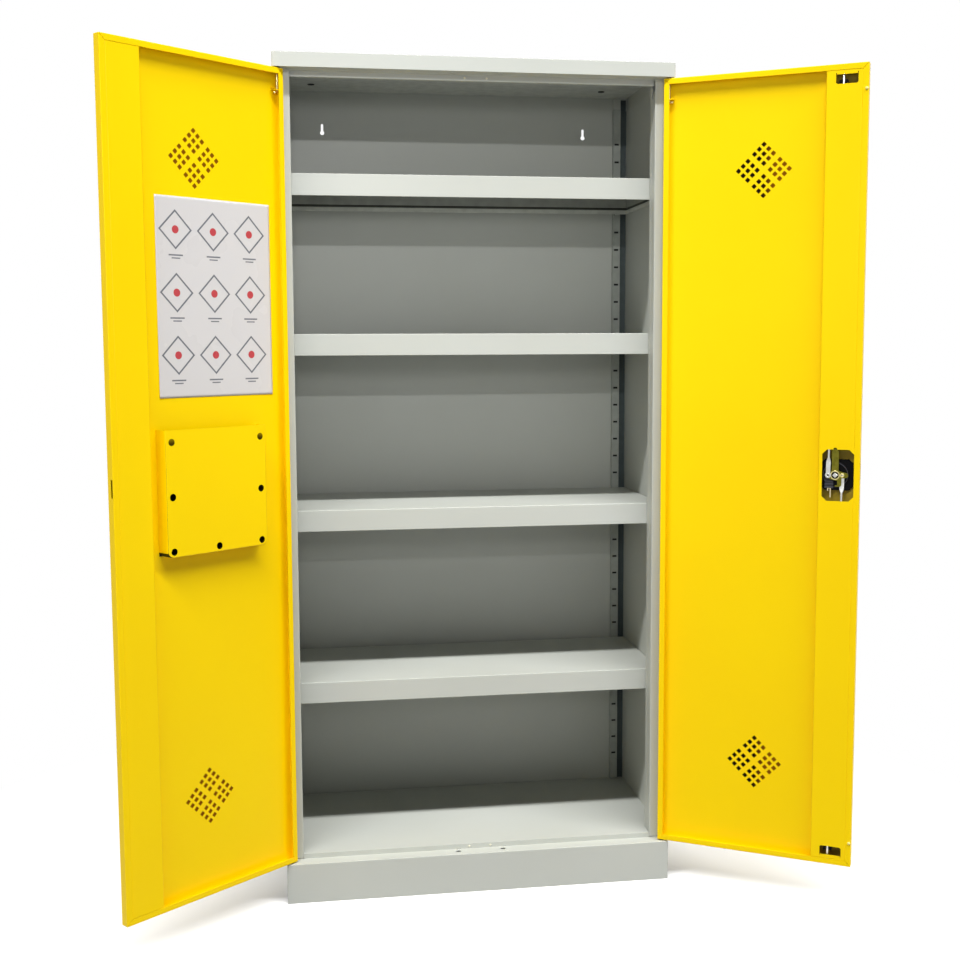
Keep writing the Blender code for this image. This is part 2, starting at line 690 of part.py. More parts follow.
def build_frame_buffers(side):
    """Small pale buffers on the header's lip and on the floor's front fold."""
    for name, y, z in (("header", HEADER_SETBACK, CAP_UNDER - HEADER_LIP / 2),
                       ("floor", POST_SETBACK, FLOOR_TOP - FLOOR_FOLD / 2)):
        shape = bmesh.new()
        dome(shape, (side * DOT_X, y - SEAT, z), DOT_RADIUS, DOT_RISE, (0, -1, 0))
        add_object("buffer_" + name + "_" + SIDE_NAMES[side], shape, PALE_PLASTIC)


def along_x(side, along):
    """X in a door's frame of a distance from its hinge edge. The frame stands on the hinge axis."""
    return -side * (along - PIN_ALONG)


def inward_y(depth):
    """Y in a door's frame of a distance in from its outer skin."""
    return depth - PIN_IN


def door_box(shape, side, along, depth, height):
    """A box in a door's frame from three pairs of distances."""
    x = sorted(along_x(side, value) for value in along)
    add_box(shape, (x[0], inward_y(depth[0]), height[0]), (x[1], inward_y(depth[1]), height[1]))


def door_prism(shape, side, outline, start, end):
    """An outline of distances along and up, pushed from one depth to another."""
    points = [(along_x(side, along), height) for along, height in outline]
    add_prism(shape, points, "y", inward_y(start), inward_y(end))


def build_door_pan(side, frame):
    """A door: outer skin, edges folded in all round and a narrow lip turned back over them."""
    xs = sorted((along_x(side, 0), along_x(side, DOOR_WIDTH)))
    low, high = (xs[0], DOOR_BOTTOM), (xs[1], DOOR_TOP)
    levels = ((0, 0), (0, DOOR_THICKNESS), (DOOR_LIP, DOOR_THICKNESS), (DOOR_LIP, DOOR_THICKNESS - SHEET),
              (SHEET, DOOR_THICKNESS - SHEET), (SHEET, SHEET))
    shape = bmesh.new()
    add_loft(shape, [rectangle_ring(low, high, inset, inward_y(depth), "y") for inset, depth in levels])
    pan = add_object(SIDE_NAMES[side] + "_door_pan", shape, YELLOW, frame)
    for name, edge, inward in door_ends(side):
        combine(pan, "UNION", name + "_bracket", hinge_bracket(side, edge, inward))
    holes = bmesh.new()
    for height in vent_heights():
        for spot in vent_spots():
            add_vent_hole(holes, side, spot, height)
    add_pin_holes(holes, side)
    door_box(holes, side, (DOOR_WIDTH - DOOR_LIP / 2, DOOR_WIDTH + OVERRUN),
             (CAM_IN - ARM_SLOT_GAP, CAM_IN + CAM_SHEET + ARM_SLOT_GAP),
             (LOCK_HEIGHT - ARM_SLOT_BELOW, LOCK_HEIGHT + ARM_SLOT_ABOVE))
    if side == RIGHT:
        add_rod_holes(holes, side)
        outline = octagon((DISH_ALONG, LOCK_HEIGHT), DISH_HALF_WIDTH + SKIN_HOLE_GAP, DISH_HALF_TALL + SKIN_HOLE_GAP,
                          DISH_CHAMFER)
        door_prism(holes, side, outline, -OVERRUN, SHEET + OVERRUN)
    combine(pan, "DIFFERENCE", SIDE_NAMES[side] + "_door_cutter", holes)


def door_ends(side):
    """Name, edge height and way inward of a door's two ends."""
    name = SIDE_NAMES[side] + "_door_"
    return ((name + "upper", DOOR_TOP, -1), (name + "lower", DOOR_BOTTOM, 1))


def hinge_bracket(side, edge, inward):
    """A small angle welded to the skin and the hinge fold. It steadies the pin inside the door."""
    level = edge + inward * BRACKET_DROP
    base = SHEET - BRACKET_WELD
    path = [(base, level - inward * BRACKET_LEG), (base, level), (base + BRACKET_REACH, level)]
    if inward > 0:
        path.reverse()
    outline = [(inward_y(depth), height) for depth, height in sheet_section(path, BRACKET_SHEET)]
    ends = sorted((along_x(side, base), along_x(side, base + BRACKET_LENGTH)))
    shape = bmesh.new()
    add_prism(shape, outline, "x", *ends)
    return shape


def vent_heights():
    """Middle heights of a door's two vents."""
    return (DOOR_TOP - VENT_EDGE_DISTANCE, DOOR_BOTTOM + VENT_EDGE_DISTANCE)


def vent_spots():
    """Hole places along one side of the diamond, with a wider step in the middle."""
    steps = []
    for count in range(VENT_PER_SIDE):
        wide = VENT_MID_PITCH - VENT_PITCH if count >= VENT_PER_SIDE / 2 else 0
        steps.append(count * VENT_PITCH + wide)
    middle = steps[-1] / 2
    return [(first - middle, second - middle) for first in steps for second in steps]


def add_vent_hole(shape, side, spot, height):
    """One square hole standing on its corner."""
    root = math.sqrt(0.5)
    along = DOOR_WIDTH / 2 + (spot[0] - spot[1]) * root
    up = height + (spot[0] + spot[1]) * root
    reach = VENT_HOLE * root
    door_prism(shape, side, [(along, up - reach), (along + reach, up), (along, up + reach), (along - reach, up)],
               -OVERRUN, SHEET + OVERRUN)


def add_pin_holes(shape, side):
    """Holes for the hinge pins through the end folds and the brackets."""
    outline = circle((along_x(side, PIN_ALONG), inward_y(PIN_IN)), PIN_RADIUS + PIN_CLEARANCE)
    for name, edge, inward in door_ends(side):
        for level in (edge, edge + inward * BRACKET_DROP):
            add_prism(shape, outline, "z", level - OVERRUN, level + OVERRUN)


def add_rod_holes(shape, side):
    """Holes for the lock rods through the top and bottom folds."""
    outline = circle((along_x(side, ROD_END_ALONG), inward_y(ROD_IN)), ROD_HOLE_RADIUS)
    add_prism(shape, outline, "z", DOOR_TOP - OVERRUN, DOOR_TOP + OVERRUN)
    add_prism(shape, outline, "z", DOOR_BOTTOM - OVERRUN, DOOR_BOTTOM + OVERRUN)


def build_stiffener(side, frame):
    """A channel from the skin up to the lips' level, tucked under the lip of the free edge."""
    inner = PANEL_WIDTH
    outer = DOOR_WIDTH - DOOR_LIP - STIFFENER_GAP
    face = DOOR_THICKNESS
    under_lip = DOOR_THICKNESS - SHEET - SEAT
    path = [(inner, SHEET + SEAT), (inner, face), (outer, face), (outer, under_lip), (outer + STIFFENER_TUCK, under_lip)]
    outline = [(along_x(side, along), inward_y(depth)) for along, depth in sheet_section(list(reversed(path)), SHEET)]
    low, high = DOOR_BOTTOM + DOOR_LIP + STIFFENER_GAP, DOOR_TOP - DOOR_LIP - STIFFENER_GAP
    shape = bmesh.new()
    add_prism(shape, outline, "z", low, high)
    stiffener = add_object(SIDE_NAMES[side] + "_door_stiffener", shape, YELLOW, frame)
    if side == RIGHT:
        holes = bmesh.new()
        through = (DOOR_THICKNESS - SHEET - OVERRUN / 2, DOOR_THICKNESS + OVERRUN)
        door_prism(holes, side, lock_window(), *through)
        door_prism(holes, side, rod_window(DOOR_TOP - ROD_WINDOW_EDGE, -1), *through)
        door_prism(holes, side, rod_window(DOOR_BOTTOM + ROD_WINDOW_EDGE, 1), *through)
        combine(stiffener, "DIFFERENCE", "window_cutter", holes)


def lock_window():
    """The eight-sided window with a small round notch over the lock's arm."""
    outline = octagon((WINDOW_ALONG, LOCK_HEIGHT), WINDOW_WIDTH / 2, WINDOW_TALL / 2, WINDOW_CHAMFER)
    notch = arc((LOCK_ALONG, LOCK_HEIGHT + WINDOW_TALL / 2), WINDOW_NOTCH, 0, 180)
    return outline[:3] + notch + outline[3:]


def rod_window(edge, inward):
    """A rod window with its far corners cut off and a slit at each near corner."""
    half = ROD_WINDOW_WIDTH / 2
    left, right = ROD_WINDOW_ALONG - half, ROD_WINDOW_ALONG + half
    far = edge + inward * ROD_WINDOW_TALL
    slit_top = edge - inward * ROD_WINDOW_SLIT_RISE
    return [(left, slit_top), (left, far - inward * ROD_WINDOW_CHAMFER), (left + ROD_WINDOW_CHAMFER, far),
            (right - ROD_WINDOW_CHAMFER, far), (right, far - inward * ROD_WINDOW_CHAMFER), (right, slit_top),
            (right - ROD_WINDOW_SLIT, slit_top), (right - ROD_WINDOW_SLIT, edge), (left + ROD_WINDOW_SLIT, edge),
            (left + ROD_WINDOW_SLIT, slit_top)]


def build_vent(side, frame, name, height):
    """Dark gauze over a vent's holes, and the frame that holds it against the outer skin."""
    middle = DOOR_WIDTH / 2
    seat = -SEAT
    gauze_back = seat - SCREEN_THICKNESS
    screen, holder = bmesh.new(), bmesh.new()
    door_prism(screen, side, diamond(middle, height, SCREEN_SIDE), gauze_back, seat)
    add_object(name + "_screen", screen, GAUZE, frame)
    door_prism(holder, side, diamond(middle, height, VENT_FRAME_SIDE), gauze_back - VENT_FRAME_THICKNESS, seat)
    ring = add_object(name + "_frame", holder, YELLOW, frame)
    opening, rebate = bmesh.new(), bmesh.new()
    door_prism(opening, side, diamond(middle, height, VENT_FRAME_SIDE - 2 * VENT_FRAME_BAR), -2 * OVERRUN, OVERRUN)
    combine(ring, "DIFFERENCE", name + "_opening", opening)
    door_prism(rebate, side, diamond(middle, height, SCREEN_SIDE + 2 * SEAT), gauze_back - SEAT, OVERRUN)
    combine(ring, "DIFFERENCE", name + "_rebate", rebate)


def diamond(along, up, side_length):
    """A square standing on its corner."""
    reach = side_length * math.sqrt(0.5)
    return [(along, up - reach), (along + reach, up), (along, up + reach), (along - reach, up)]


def build_hinge_pin(side, frame, name, edge, inward):
    """A bent pin: it stands on the hinge axis and ends in a short hook inside the door."""
    curve = bpy.data.curves.new(name, "CURVE")
    curve.dimensions = "3D"
    curve.bevel_depth = PIN_RADIUS
    curve.bevel_resolution = 1
    curve.use_fill_caps = True
    tip = edge - inward * PIN_STANDOUT
    foot = edge + inward * (PIN_LENGTH - PIN_STANDOUT)
    lean = along_x(side, PIN_ALONG + PIN_HOOK)
    bend = along_x(side, PIN_ALONG + PIN_BEND)
    points = ((0, 0, tip), (0, 0, foot - inward * PIN_BEND), (bend, 0, foot), (lean, 0, foot))
    spline = curve.splines.new("POLY")
    spline.points.add(len(points) - 1)
    for point, place in zip(spline.points, points):
        point.co = (*place, 1)
    pin = bpy.data.objects.new(name, curve)
    curve.materials.append(paint(name + "_finish", GALVANISED))
    bpy.context.scene.collection.objects.link(pin)
    pin.parent = frame


def build_notice_sheet(frame):
    """The printed sheet on the left door, bare of any print here."""
    shape = bmesh.new()
    door_box(shape, LEFT, (SHEET_A3_ALONG, SHEET_A3_ALONG + SHEET_A3_WIDTH), (SHEET + SEAT, SHEET + SEAT + SHEET_A3_THICKNESS),
             (SHEET_A3_TOP - SHEET_A3_TALL, SHEET_A3_TOP))
    add_object("notice_sheet", shape, PAPER, frame)


def pocket_outline(inset, top):
    """The pocket's outline with rounded lower corners, drawn in by an inset."""
    left, right = POCKET_ALONG + inset, POCKET_ALONG + POCKET_WIDTH - inset
    low = POCKET_BOTTOM + inset
    radius = POCKET_CORNER - inset if inset < POCKET_CORNER else SHEET
    return ([(left, top)] + arc((left + radius, low + radius), radius, 180, 270)
            + arc((right - radius, low + radius), radius, 270, 360) + [(right, top)])


def pocket_holes():
    """Places of the seven holes in the pocket's front: three down each side and one between at the bottom."""
    left, right = POCKET_ALONG + POCKET_HOLE_INSET, POCKET_ALONG + POCKET_WIDTH - POCKET_HOLE_INSET
    low = POCKET_BOTTOM + POCKET_HOLE_EDGE
    high = POCKET_BOTTOM + POCKET_TALL - 2 * POCKET_HOLE_EDGE
    rows = (low, (low + high) / 2, high)
    return [(along, row) for along in (left, right) for row in rows] + [((left + right) / 2, low)]


def build_pocket(frame):
    """A document pocket, open at the top, with a flange against the skin and seven holes in its front."""
    back, front = SHEET + SEAT, SHEET + SEAT + POCKET_DEPTH
    top = POCKET_BOTTOM + POCKET_TALL
    shape = bmesh.new()
    door_prism(shape, LEFT, pocket_outline(0, top), back, front)
    pocket = add_object("document_pocket", shape, YELLOW, frame)
    hollow, middle = bmesh.new(), bmesh.new()
    door_prism(hollow, LEFT, pocket_outline(SHEET, top + OVERRUN), back + SHEET, front - SHEET)
    combine(pocket, "DIFFERENCE", "pocket_hollow", hollow)
    door_prism(middle, LEFT, pocket_outline(POCKET_FLANGE, top + OVERRUN), back - OVERRUN, back + SHEET * 2)
    for spot in pocket_holes():
        door_prism(middle, LEFT, circle(spot, POCKET_HOLE_RADIUS), front - SHEET - OVERRUN, front + OVERRUN)
    combine(pocket, "DIFFERENCE", "pocket_cutter", middle)


def build_door_buffers(side, frame):
    """Pale buffers on the right door's free lip, and a dark button outside the left door's free edge."""
    if side == LEFT:
        shape = bmesh.new()
        dome(shape, (along_x(side, BUFFER_ALONG), inward_y(-SEAT), BUTTON_Z), BUTTON_RADIUS, BUTTON_RISE, (0, -1, 0))
        add_object("left_door_button", shape, RUBBER, frame)
        return
    for name, edge, inward in door_ends(side):
        shape = bmesh.new()
        spot = (along_x(side, BUFFER_ALONG), inward_y(DOOR_THICKNESS + SEAT), edge + inward * BUFFER_END_DISTANCE)
        dome(shape, spot, BUFFER_RADIUS, BUFFER_RISE, (0, 1, 0))
        add_object(name + "_buffer", shape, PALE_PLASTIC, frame)


def cam_outline():
    """The cam plate seen from inside: an arm straight up, an ear each side and a hooked tail below."""
    half, ear = CAM_ARM_WIDTH / 2, EAR_END_RADIUS
    neck = math.sqrt(CAM_HUB_RADIUS ** 2 - half ** 2)
    points = arc((0, CAM_ARM_REACH - half), half, 0, 180) + [(-half, neck)]
    points += [(-EAR_RADIUS, ear)] + arc((-EAR_RADIUS, 0), ear, 120, 240) + [(-EAR_RADIUS, -ear)]
    left, right = CAM_TAIL_START, CAM_TAIL_START + CAM_TAIL_WIDTH
    points += [(-half, -neck), (left, -CAM_HUB_RADIUS), (left, CAM_TAIL_BAR - CAM_TAIL_REACH)]
    points += [(left - CAM_TAIL_HOOK, CAM_TAIL_BAR - CAM_TAIL_REACH), (left - CAM_TAIL_HOOK, -CAM_TAIL_REACH)]
    points += [(right - CAM_TAIL_BAR, -CAM_TAIL_REACH), (right, CAM_TAIL_BAR - CAM_TAIL_REACH), (right, -ear)]
    points += [(EAR_RADIUS, -ear)] + arc((EAR_RADIUS, 0), ear, -60, 60) + [(EAR_RADIUS, ear), (half, neck)]
    return points


def square(side_length):
    """A square standing on its corner about the origin."""
    return diamond(0, 0, side_length)


def build_lock(frame):
    """The handle on the outer face, the cam inside, two rods, their guides, a lock block, bolt and key."""
    hub = (LOCK_ALONG, LOCK_HEIGHT)
    build_dish(frame, hub)
    handle = add_empty("handle_axis", (along_x(RIGHT, LOCK_ALONG), 0, LOCK_HEIGHT), parent=frame)

    def local(shape, outline, start, end):
        points = [(-along, height) for along, height in outline]
        add_prism(shape, points, "y", inward_y(start), inward_y(end))

    plate = bmesh.new()
    local(plate, cam_outline(), CAM_IN, CAM_IN + CAM_SHEET)
    cam = add_object("lock_cam", plate, CHROMATE, handle)
    hole = bmesh.new()
    local(hole, square(SPINDLE_SIDE + 2 * SEAT), CAM_IN - OVERRUN, CAM_IN + CAM_SHEET + OVERRUN)
    combine(cam, "DIFFERENCE", "cam_hole", hole)
    spindle = bmesh.new()
    local(spindle, square(SPINDLE_SIDE), GRIP_HUB_END + SEAT, SPINDLE_END)
    add_object("handle_spindle", spindle, GALVANISED, handle)
    grip = bmesh.new()
    half_run, half = GRIP_LENGTH / 2 - GRIP_WIDTH / 2, GRIP_WIDTH / 2
    bar = arc((half_run, 0), half, -90, 90) + arc((-half_run, 0), half, 90, 270)
    local(grip, bar, -GRIP_OUT, -GRIP_OUT + GRIP_THICKNESS)
    lever = add_object("handle_grip", grip, BLACK_PLASTIC, handle)
    stub = bmesh.new()
    local(stub, circle((0, 0), GRIP_HUB_RADIUS), -GRIP_OUT + GRIP_THICKNESS / 2, GRIP_HUB_END)
    combine(lever, "UNION", "grip_hub", stub)
    for name, way in (("upper_rod", 1), ("lower_rod", -1)):
        build_rod(frame, name, way)
        build_guide(frame, name + "_guide", way)
    build_lock_block(frame)
    build_key(frame)


def build_dish(frame, hub):
    """A black dish set in the skin: rim outside, eight-sided body and a round boss inside, hollow from outside."""
    shape = bmesh.new()
    middle = (DISH_ALONG, LOCK_HEIGHT)
    body = octagon(middle, DISH_HALF_WIDTH, DISH_HALF_TALL, DISH_CHAMFER)
    door_prism(shape, RIGHT, body, -DISH_RIM_THICKNESS / 2, DISH_BODY_IN)
    dish = add_object("handle_dish", shape, BLACK_PLASTIC, frame)
    more = bmesh.new()
    rim = octagon(middle, DISH_HALF_WIDTH + DISH_RIM, DISH_HALF_TALL + DISH_RIM, DISH_CHAMFER)
    door_prism(more, RIGHT, rim, -DISH_RIM_THICKNESS - SEAT, -SEAT)
    combine(dish, "UNION", "dish_rim", more)
    boss = bmesh.new()
    door_prism(boss, RIGHT, circle(hub, DISH_BOSS_RADIUS, 2 * ROUND_SIDES), DISH_BODY_IN - SHEET, DISH_BOSS_IN)
    combine(dish, "UNION", "dish_boss", boss)
    hollow = bmesh.new()
    recess = octagon(middle, DISH_HALF_WIDTH - DISH_WALL, DISH_HALF_TALL - DISH_WALL, DISH_CHAMFER)
    door_prism(hollow, RIGHT, recess, -OVERRUN, DISH_BODY_IN - DISH_WALL)
    combine(dish, "DIFFERENCE", "dish_hollow", hollow)
    cuts = bmesh.new()
    bowl = DISH_BOSS_RADIUS - DISH_WALL
    door_prism(cuts, RIGHT, circle(hub, bowl, 2 * ROUND_SIDES), DISH_BODY_IN - DISH_WALL - SHEET, DISH_BOSS_IN - DISH_WALL)
    combine(dish, "DIFFERENCE", "dish_bowl", cuts)
    bores = bmesh.new()
    door_prism(bores, RIGHT, circle(hub, DISH_HOLE_RADIUS), -OVERRUN, DISH_BOSS_IN + OVERRUN)
    lock = (LOCK_BLOCK_ALONG, LOCK_BLOCK_Z)
    door_prism(bores, RIGHT, circle(lock, PLUG_RADIUS + PLUG_GAP), -OVERRUN, DISH_BOSS_IN + OVERRUN)
    combine(dish, "DIFFERENCE", "dish_bores", bores)


def rod_line(way):
    """Foot and tip of a rod: it leans from its ear on the cam to the hole in the door's edge."""
    foot = (LOCK_ALONG - way * EAR_RADIUS, LOCK_HEIGHT)
    edge = DOOR_TOP - ROD_END_INSET if way > 0 else DOOR_BOTTOM + ROD_END_INSET
    return foot, (ROD_END_ALONG, edge)


def build_rod(frame, name, way):
    """A round rod that is flattened to an eye at the cam, with a rivet head on the eye."""
    foot, tip = rod_line(way)
    run = Vector((tip[0] - foot[0], tip[1] - foot[1]))
    length = run.length
    run.normalize()
    cross = Vector((run.y, -run.x))
    stations = []
    for step in range(1 - ARC_STEPS, 0):
        back = ROD_EYE_RADIUS * step / ARC_STEPS
        stations.append((back, math.sqrt(ROD_EYE_RADIUS ** 2 - back ** 2), ROD_EYE_SHEET / 2, 0))
    stations.append((0, ROD_EYE_RADIUS, ROD_EYE_SHEET / 2, 0))
    stations.append((ROD_EYE_RADIUS, ROD_FLAT_HALF, ROD_EYE_SHEET / 2, 0))
    stations.append((ROD_FLAT_LENGTH, ROD_FLAT_HALF, ROD_EYE_SHEET / 2, 0))
    stations.append((ROD_FLAT_LENGTH + ROD_TAPER_LENGTH, ROD_RADIUS, ROD_RADIUS, 1))
    stations.append((length, ROD_RADIUS, ROD_RADIUS, 1))
    eye_in = ROD_EYE_IN + ROD_EYE_SHEET / 2
    rings = []
    for distance, half_wide, half_thick, share in stations:
        centre_in = eye_in + (ROD_IN - eye_in) * share
        ring = []
        for x, y in circle((0, 0), 1, SMALL_SIDES):
            flat = 1 if share else FLAT_SHARE
            wide = max(-1, min(1, x * flat)) * half_wide
            thick = max(-1, min(1, y * flat)) * half_thick
            along = foot[0] + run.x * distance + cross.x * wide
            height = foot[1] + run.y * distance + cross.y * wide
            ring.append((along_x(RIGHT, along), inward_y(centre_in + thick), height))
        rings.append(ring)
    shape, rivet = bmesh.new(), bmesh.new()
    add_loft(shape, rings)
    rod = add_object(name, shape, GALVANISED, frame)
    head = (along_x(RIGHT, foot[0]), inward_y(ROD_EYE_IN + ROD_EYE_SHEET / 2), foot[1])
    dome(rivet, head, RIVET_RADIUS, RIVET_HEAD + ROD_EYE_SHEET / 2, (0, 1, 0))
    combine(rod, "UNION", name + "_rivet", rivet)


def build_guide(frame, name, way):
    """A block on the skin with a channel that keeps a rod straight near the door's end."""
    foot, tip = rod_line(way)
    z = tip[1] - way * GUIDE_EDGE_DISTANCE
    along = foot[0] + (tip[0] - foot[0]) * (z - foot[1]) / (tip[1] - foot[1])
    shape, channel = bmesh.new(), bmesh.new()
    start = along - GUIDE_LENGTH / 2
    door_box(shape, RIGHT, (start, start + GUIDE_LENGTH), (SHEET + SEAT, GUIDE_TOP_IN),
             (z - GUIDE_HEIGHT / 2, z + GUIDE_HEIGHT / 2))
    guide = add_object(name, shape, BLACK_PLASTIC, frame)
    x, y, top = along_x(RIGHT, along), inward_y(ROD_IN), inward_y(GUIDE_TOP_IN + OVERRUN)
    outline = arc((x, y), ROD_HOLE_RADIUS, 180, 360) + [(x + ROD_HOLE_RADIUS, top), (x - ROD_HOLE_RADIUS, top)]
    reach = GUIDE_HEIGHT / 2 + OVERRUN
    add_prism(channel, outline, "z", z - reach, z + reach)
    combine(guide, "DIFFERENCE", name + "_channel", channel)


def build_lock_block(frame):
    """The ribbed block inside, cut away below so that the bolt can swing toward the door's free edge."""
    start = DISH_BOSS_IN + SEAT
    half, tall = LOCK_BLOCK_WIDTH / 2, LOCK_BLOCK_TALL / 2
    rib = LOCK_BLOCK_TALL / (2 * LOCK_RIBS - 1)
    face, groove = start + LOCK_BLOCK_DEPTH, start + LOCK_BLOCK_DEPTH - LOCK_RIB_RISE
    outline = [(start, LOCK_BLOCK_Z + tall), (start, LOCK_BLOCK_Z - tall)]
    for count in range(LOCK_RIBS):
        base = LOCK_BLOCK_Z - tall + 2 * count * rib
        outline += [(face, base), (face, base + rib)]
        if count < LOCK_RIBS - 1:
            outline += [(groove, base + rib), (groove, base + 2 * rib)]
    shape, room = bmesh.new(), bmesh.new()
    points = [(inward_y(depth), height) for depth, height in outline]
    ends = sorted((along_x(RIGHT, LOCK_BLOCK_ALONG - half), along_x(RIGHT, LOCK_BLOCK_ALONG + half)))
    add_prism(shape, points, "x", *ends)
    block = add_object("lock_block", shape, BLACK_PLASTIC, frame)
    door_box(room, RIGHT, (LOCK_BLOCK_ALONG - BOLT_ROOM, LOCK_BLOCK_ALONG + half + OVERRUN),
             (start - OVERRUN, bolt_start() + BOLT_SHEET + 2 * SEAT),
             (LOCK_BLOCK_Z - tall - OVERRUN, LOCK_BLOCK_Z + BOLT_ROOM))
    combine(block, "DIFFERENCE", "lock_block_room", room)


def bolt_start():
    """Depth of the bolt's outer face."""
    return DISH_BOSS_IN + 2 * SEAT


def build_key(frame):
    """The bolt that hangs below the block, and the plug and key that turn it from outside."""
    axis = add_empty("key_axis", (along_x(RIGHT, LOCK_BLOCK_ALONG), 0, LOCK_BLOCK_Z), parent=frame)
    bolt = bmesh.new()
    half, bar = BOLT_HALF_WIDTH, BOLT_BAR
    lean = math.degrees(math.acos(half / BOLT_HUB_RADIUS))
    outline = arc((0, 0), BOLT_HUB_RADIUS, -lean, 180 + lean)
    outline += [(-half, -BOLT_HOOK_END), (bar - half, -BOLT_HOOK_END), (bar - half, -BOLT_HOOK_TOP),
                (half - bar, -BOLT_HOOK_TOP), (half - bar, -BOLT_REACH), (half, -BOLT_REACH)]
    mirrored = [(-along, height) for along, height in outline]
    add_prism(bolt, mirrored, "y", inward_y(bolt_start()), inward_y(bolt_start() + BOLT_SHEET))
    add_object("lock_bolt", bolt, BRASS, axis)
    plug = bmesh.new()
    add_prism(plug, circle((0, 0), PLUG_RADIUS), "y", inward_y(-PLUG_OUT), inward_y(bolt_start() - SEAT))
    add_object("lock_plug", plug, GALVANISED, axis)
    key, ring = bmesh.new(), bmesh.new()
    half_stem = KEY_STEM_WIDTH / 2
    near = inward_y(-PLUG_OUT - SEAT)
    bow_y = near - KEY_STEM - KEY_BOW_RADIUS
    lean = math.degrees(math.asin(half_stem / KEY_BOW_RADIUS))
    outline = arc((bow_y, 0), KEY_BOW_RADIUS, lean, 360 - lean, 2 * ARC_STEPS)
    add_prism(key, outline + [(near, -half_stem), (near, half_stem)], "x", -KEY_SHEET / 2, KEY_SHEET / 2)
    blade = add_object("key", key, GALVANISED, axis)
    spot = (bow_y - KEY_BOW_RADIUS / 3, 0)
    add_prism(ring, circle(spot, KEY_RING_HOLE, SMALL_SIDES), "x", -OVERRUN, OVERRUN)
    combine(blade, "DIFFERENCE", "key_ring_hole", ring)


def build_carcass():
    """Everything that stands still."""
    build_plinth()
    build_floor_pan()
    build_back_panel()
    build_cap()
    build_header()
    for side in (LEFT, RIGHT):
        build_side_panel(side)
        build_bush("upper", side, CAP_UNDER + SHEET, 1)
        build_bush("lower", side, PLINTH_HEIGHT - SHEET, -1)
        build_frame_buffers(side)
        for row in (0, 1):
            build_upright(side, row)
    for index in range(len(SHELF_SLOTS)):
        build_shelf(index)


def build_doors():
    """Both doors, each under an empty on its hinge axis, turned to where it stands open."""
    for side, angle in ((LEFT, -LEFT_OPEN), (RIGHT, RIGHT_OPEN)):
        x, y = hinge_axis(side)
        frame = add_empty(SIDE_NAMES[side] + "_door_axis", (x, y, 0), angle)
        build_door_pan(side, frame)
        build_stiffener(side, frame)
        build_door_buffers(side, frame)
        for (name, edge, inward), height in zip(door_ends(side), vent_heights()):
            build_vent(side, frame, name + "_vent", height)
            build_hinge_pin(side, frame, name + "_hinge_pin", edge, inward)
        if side == LEFT:
            build_notice_sheet(frame)
            build_pocket(frame)
        else:
            build_lock(frame)


clear_scene()
build_carcass()
build_doors()
bpy.context.view_layer.update()
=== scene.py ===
# %% [markdown]
# # A chemical storage cabinet, dressed over its engineered frame
# The cabinet is folded sheet steel: a light grey case with four shelves and two yellow doors that stand open.
# The frame brings every solid in metres with its joints. This lesson gives each of them a finish, and works out
# the pieces whose edges, folds and small marks are finer than the solids, as surfaces on grids.

# %% Open the frame and keep its box
import math
import bmesh
import bpy
import numpy as np
from mathutils import Matrix, Vector


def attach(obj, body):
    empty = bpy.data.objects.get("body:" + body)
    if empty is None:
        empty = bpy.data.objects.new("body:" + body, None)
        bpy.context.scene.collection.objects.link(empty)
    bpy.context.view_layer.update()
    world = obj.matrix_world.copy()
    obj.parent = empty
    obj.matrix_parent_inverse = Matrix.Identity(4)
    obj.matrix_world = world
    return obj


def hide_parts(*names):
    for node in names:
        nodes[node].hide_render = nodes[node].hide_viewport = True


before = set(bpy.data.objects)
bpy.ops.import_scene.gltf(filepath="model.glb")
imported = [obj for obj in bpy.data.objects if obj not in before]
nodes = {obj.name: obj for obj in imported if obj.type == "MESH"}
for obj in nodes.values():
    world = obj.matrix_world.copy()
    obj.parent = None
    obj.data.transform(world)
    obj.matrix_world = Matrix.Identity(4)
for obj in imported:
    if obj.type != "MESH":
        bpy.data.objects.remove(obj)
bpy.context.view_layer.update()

# %% [markdown]
# ## The camera
# The photograph was taken from a standing person's eye height, a little left of the middle, and turned slightly to
# the right and down. A pinhole camera fitted to points of the cabinet gave the place, the three turns and the focal
# length. Its axes are written as one matrix, because that keeps the small roll exact.

# %% Camera
SENSOR_WIDE = 36.0
IMAGE_SIDE = 960
FOCAL_PIXELS = 1280.0
CAMERA_PLACE = (-0.4224, -2.9276, 1.3069)
YAW, PITCH, ROLL = 0.1496, -0.0967, -0.0040
MIDDLE_X, MIDDLE_Y = 488.22, 467.71


def camera_axes(yaw, pitch, roll):
    """Right, up and backward axes: forward leans by yaw and pitch, then right and up turn about it by the roll."""
    forward = np.array([math.sin(yaw) * math.cos(pitch), math.cos(yaw) * math.cos(pitch), math.sin(pitch)])
    level = np.array([math.cos(yaw), -math.sin(yaw), 0.0])
    above = np.cross(level, forward)
    right = math.cos(roll) * level + math.sin(roll) * above
    up = -math.sin(roll) * level + math.cos(roll) * above
    return right, up, -forward


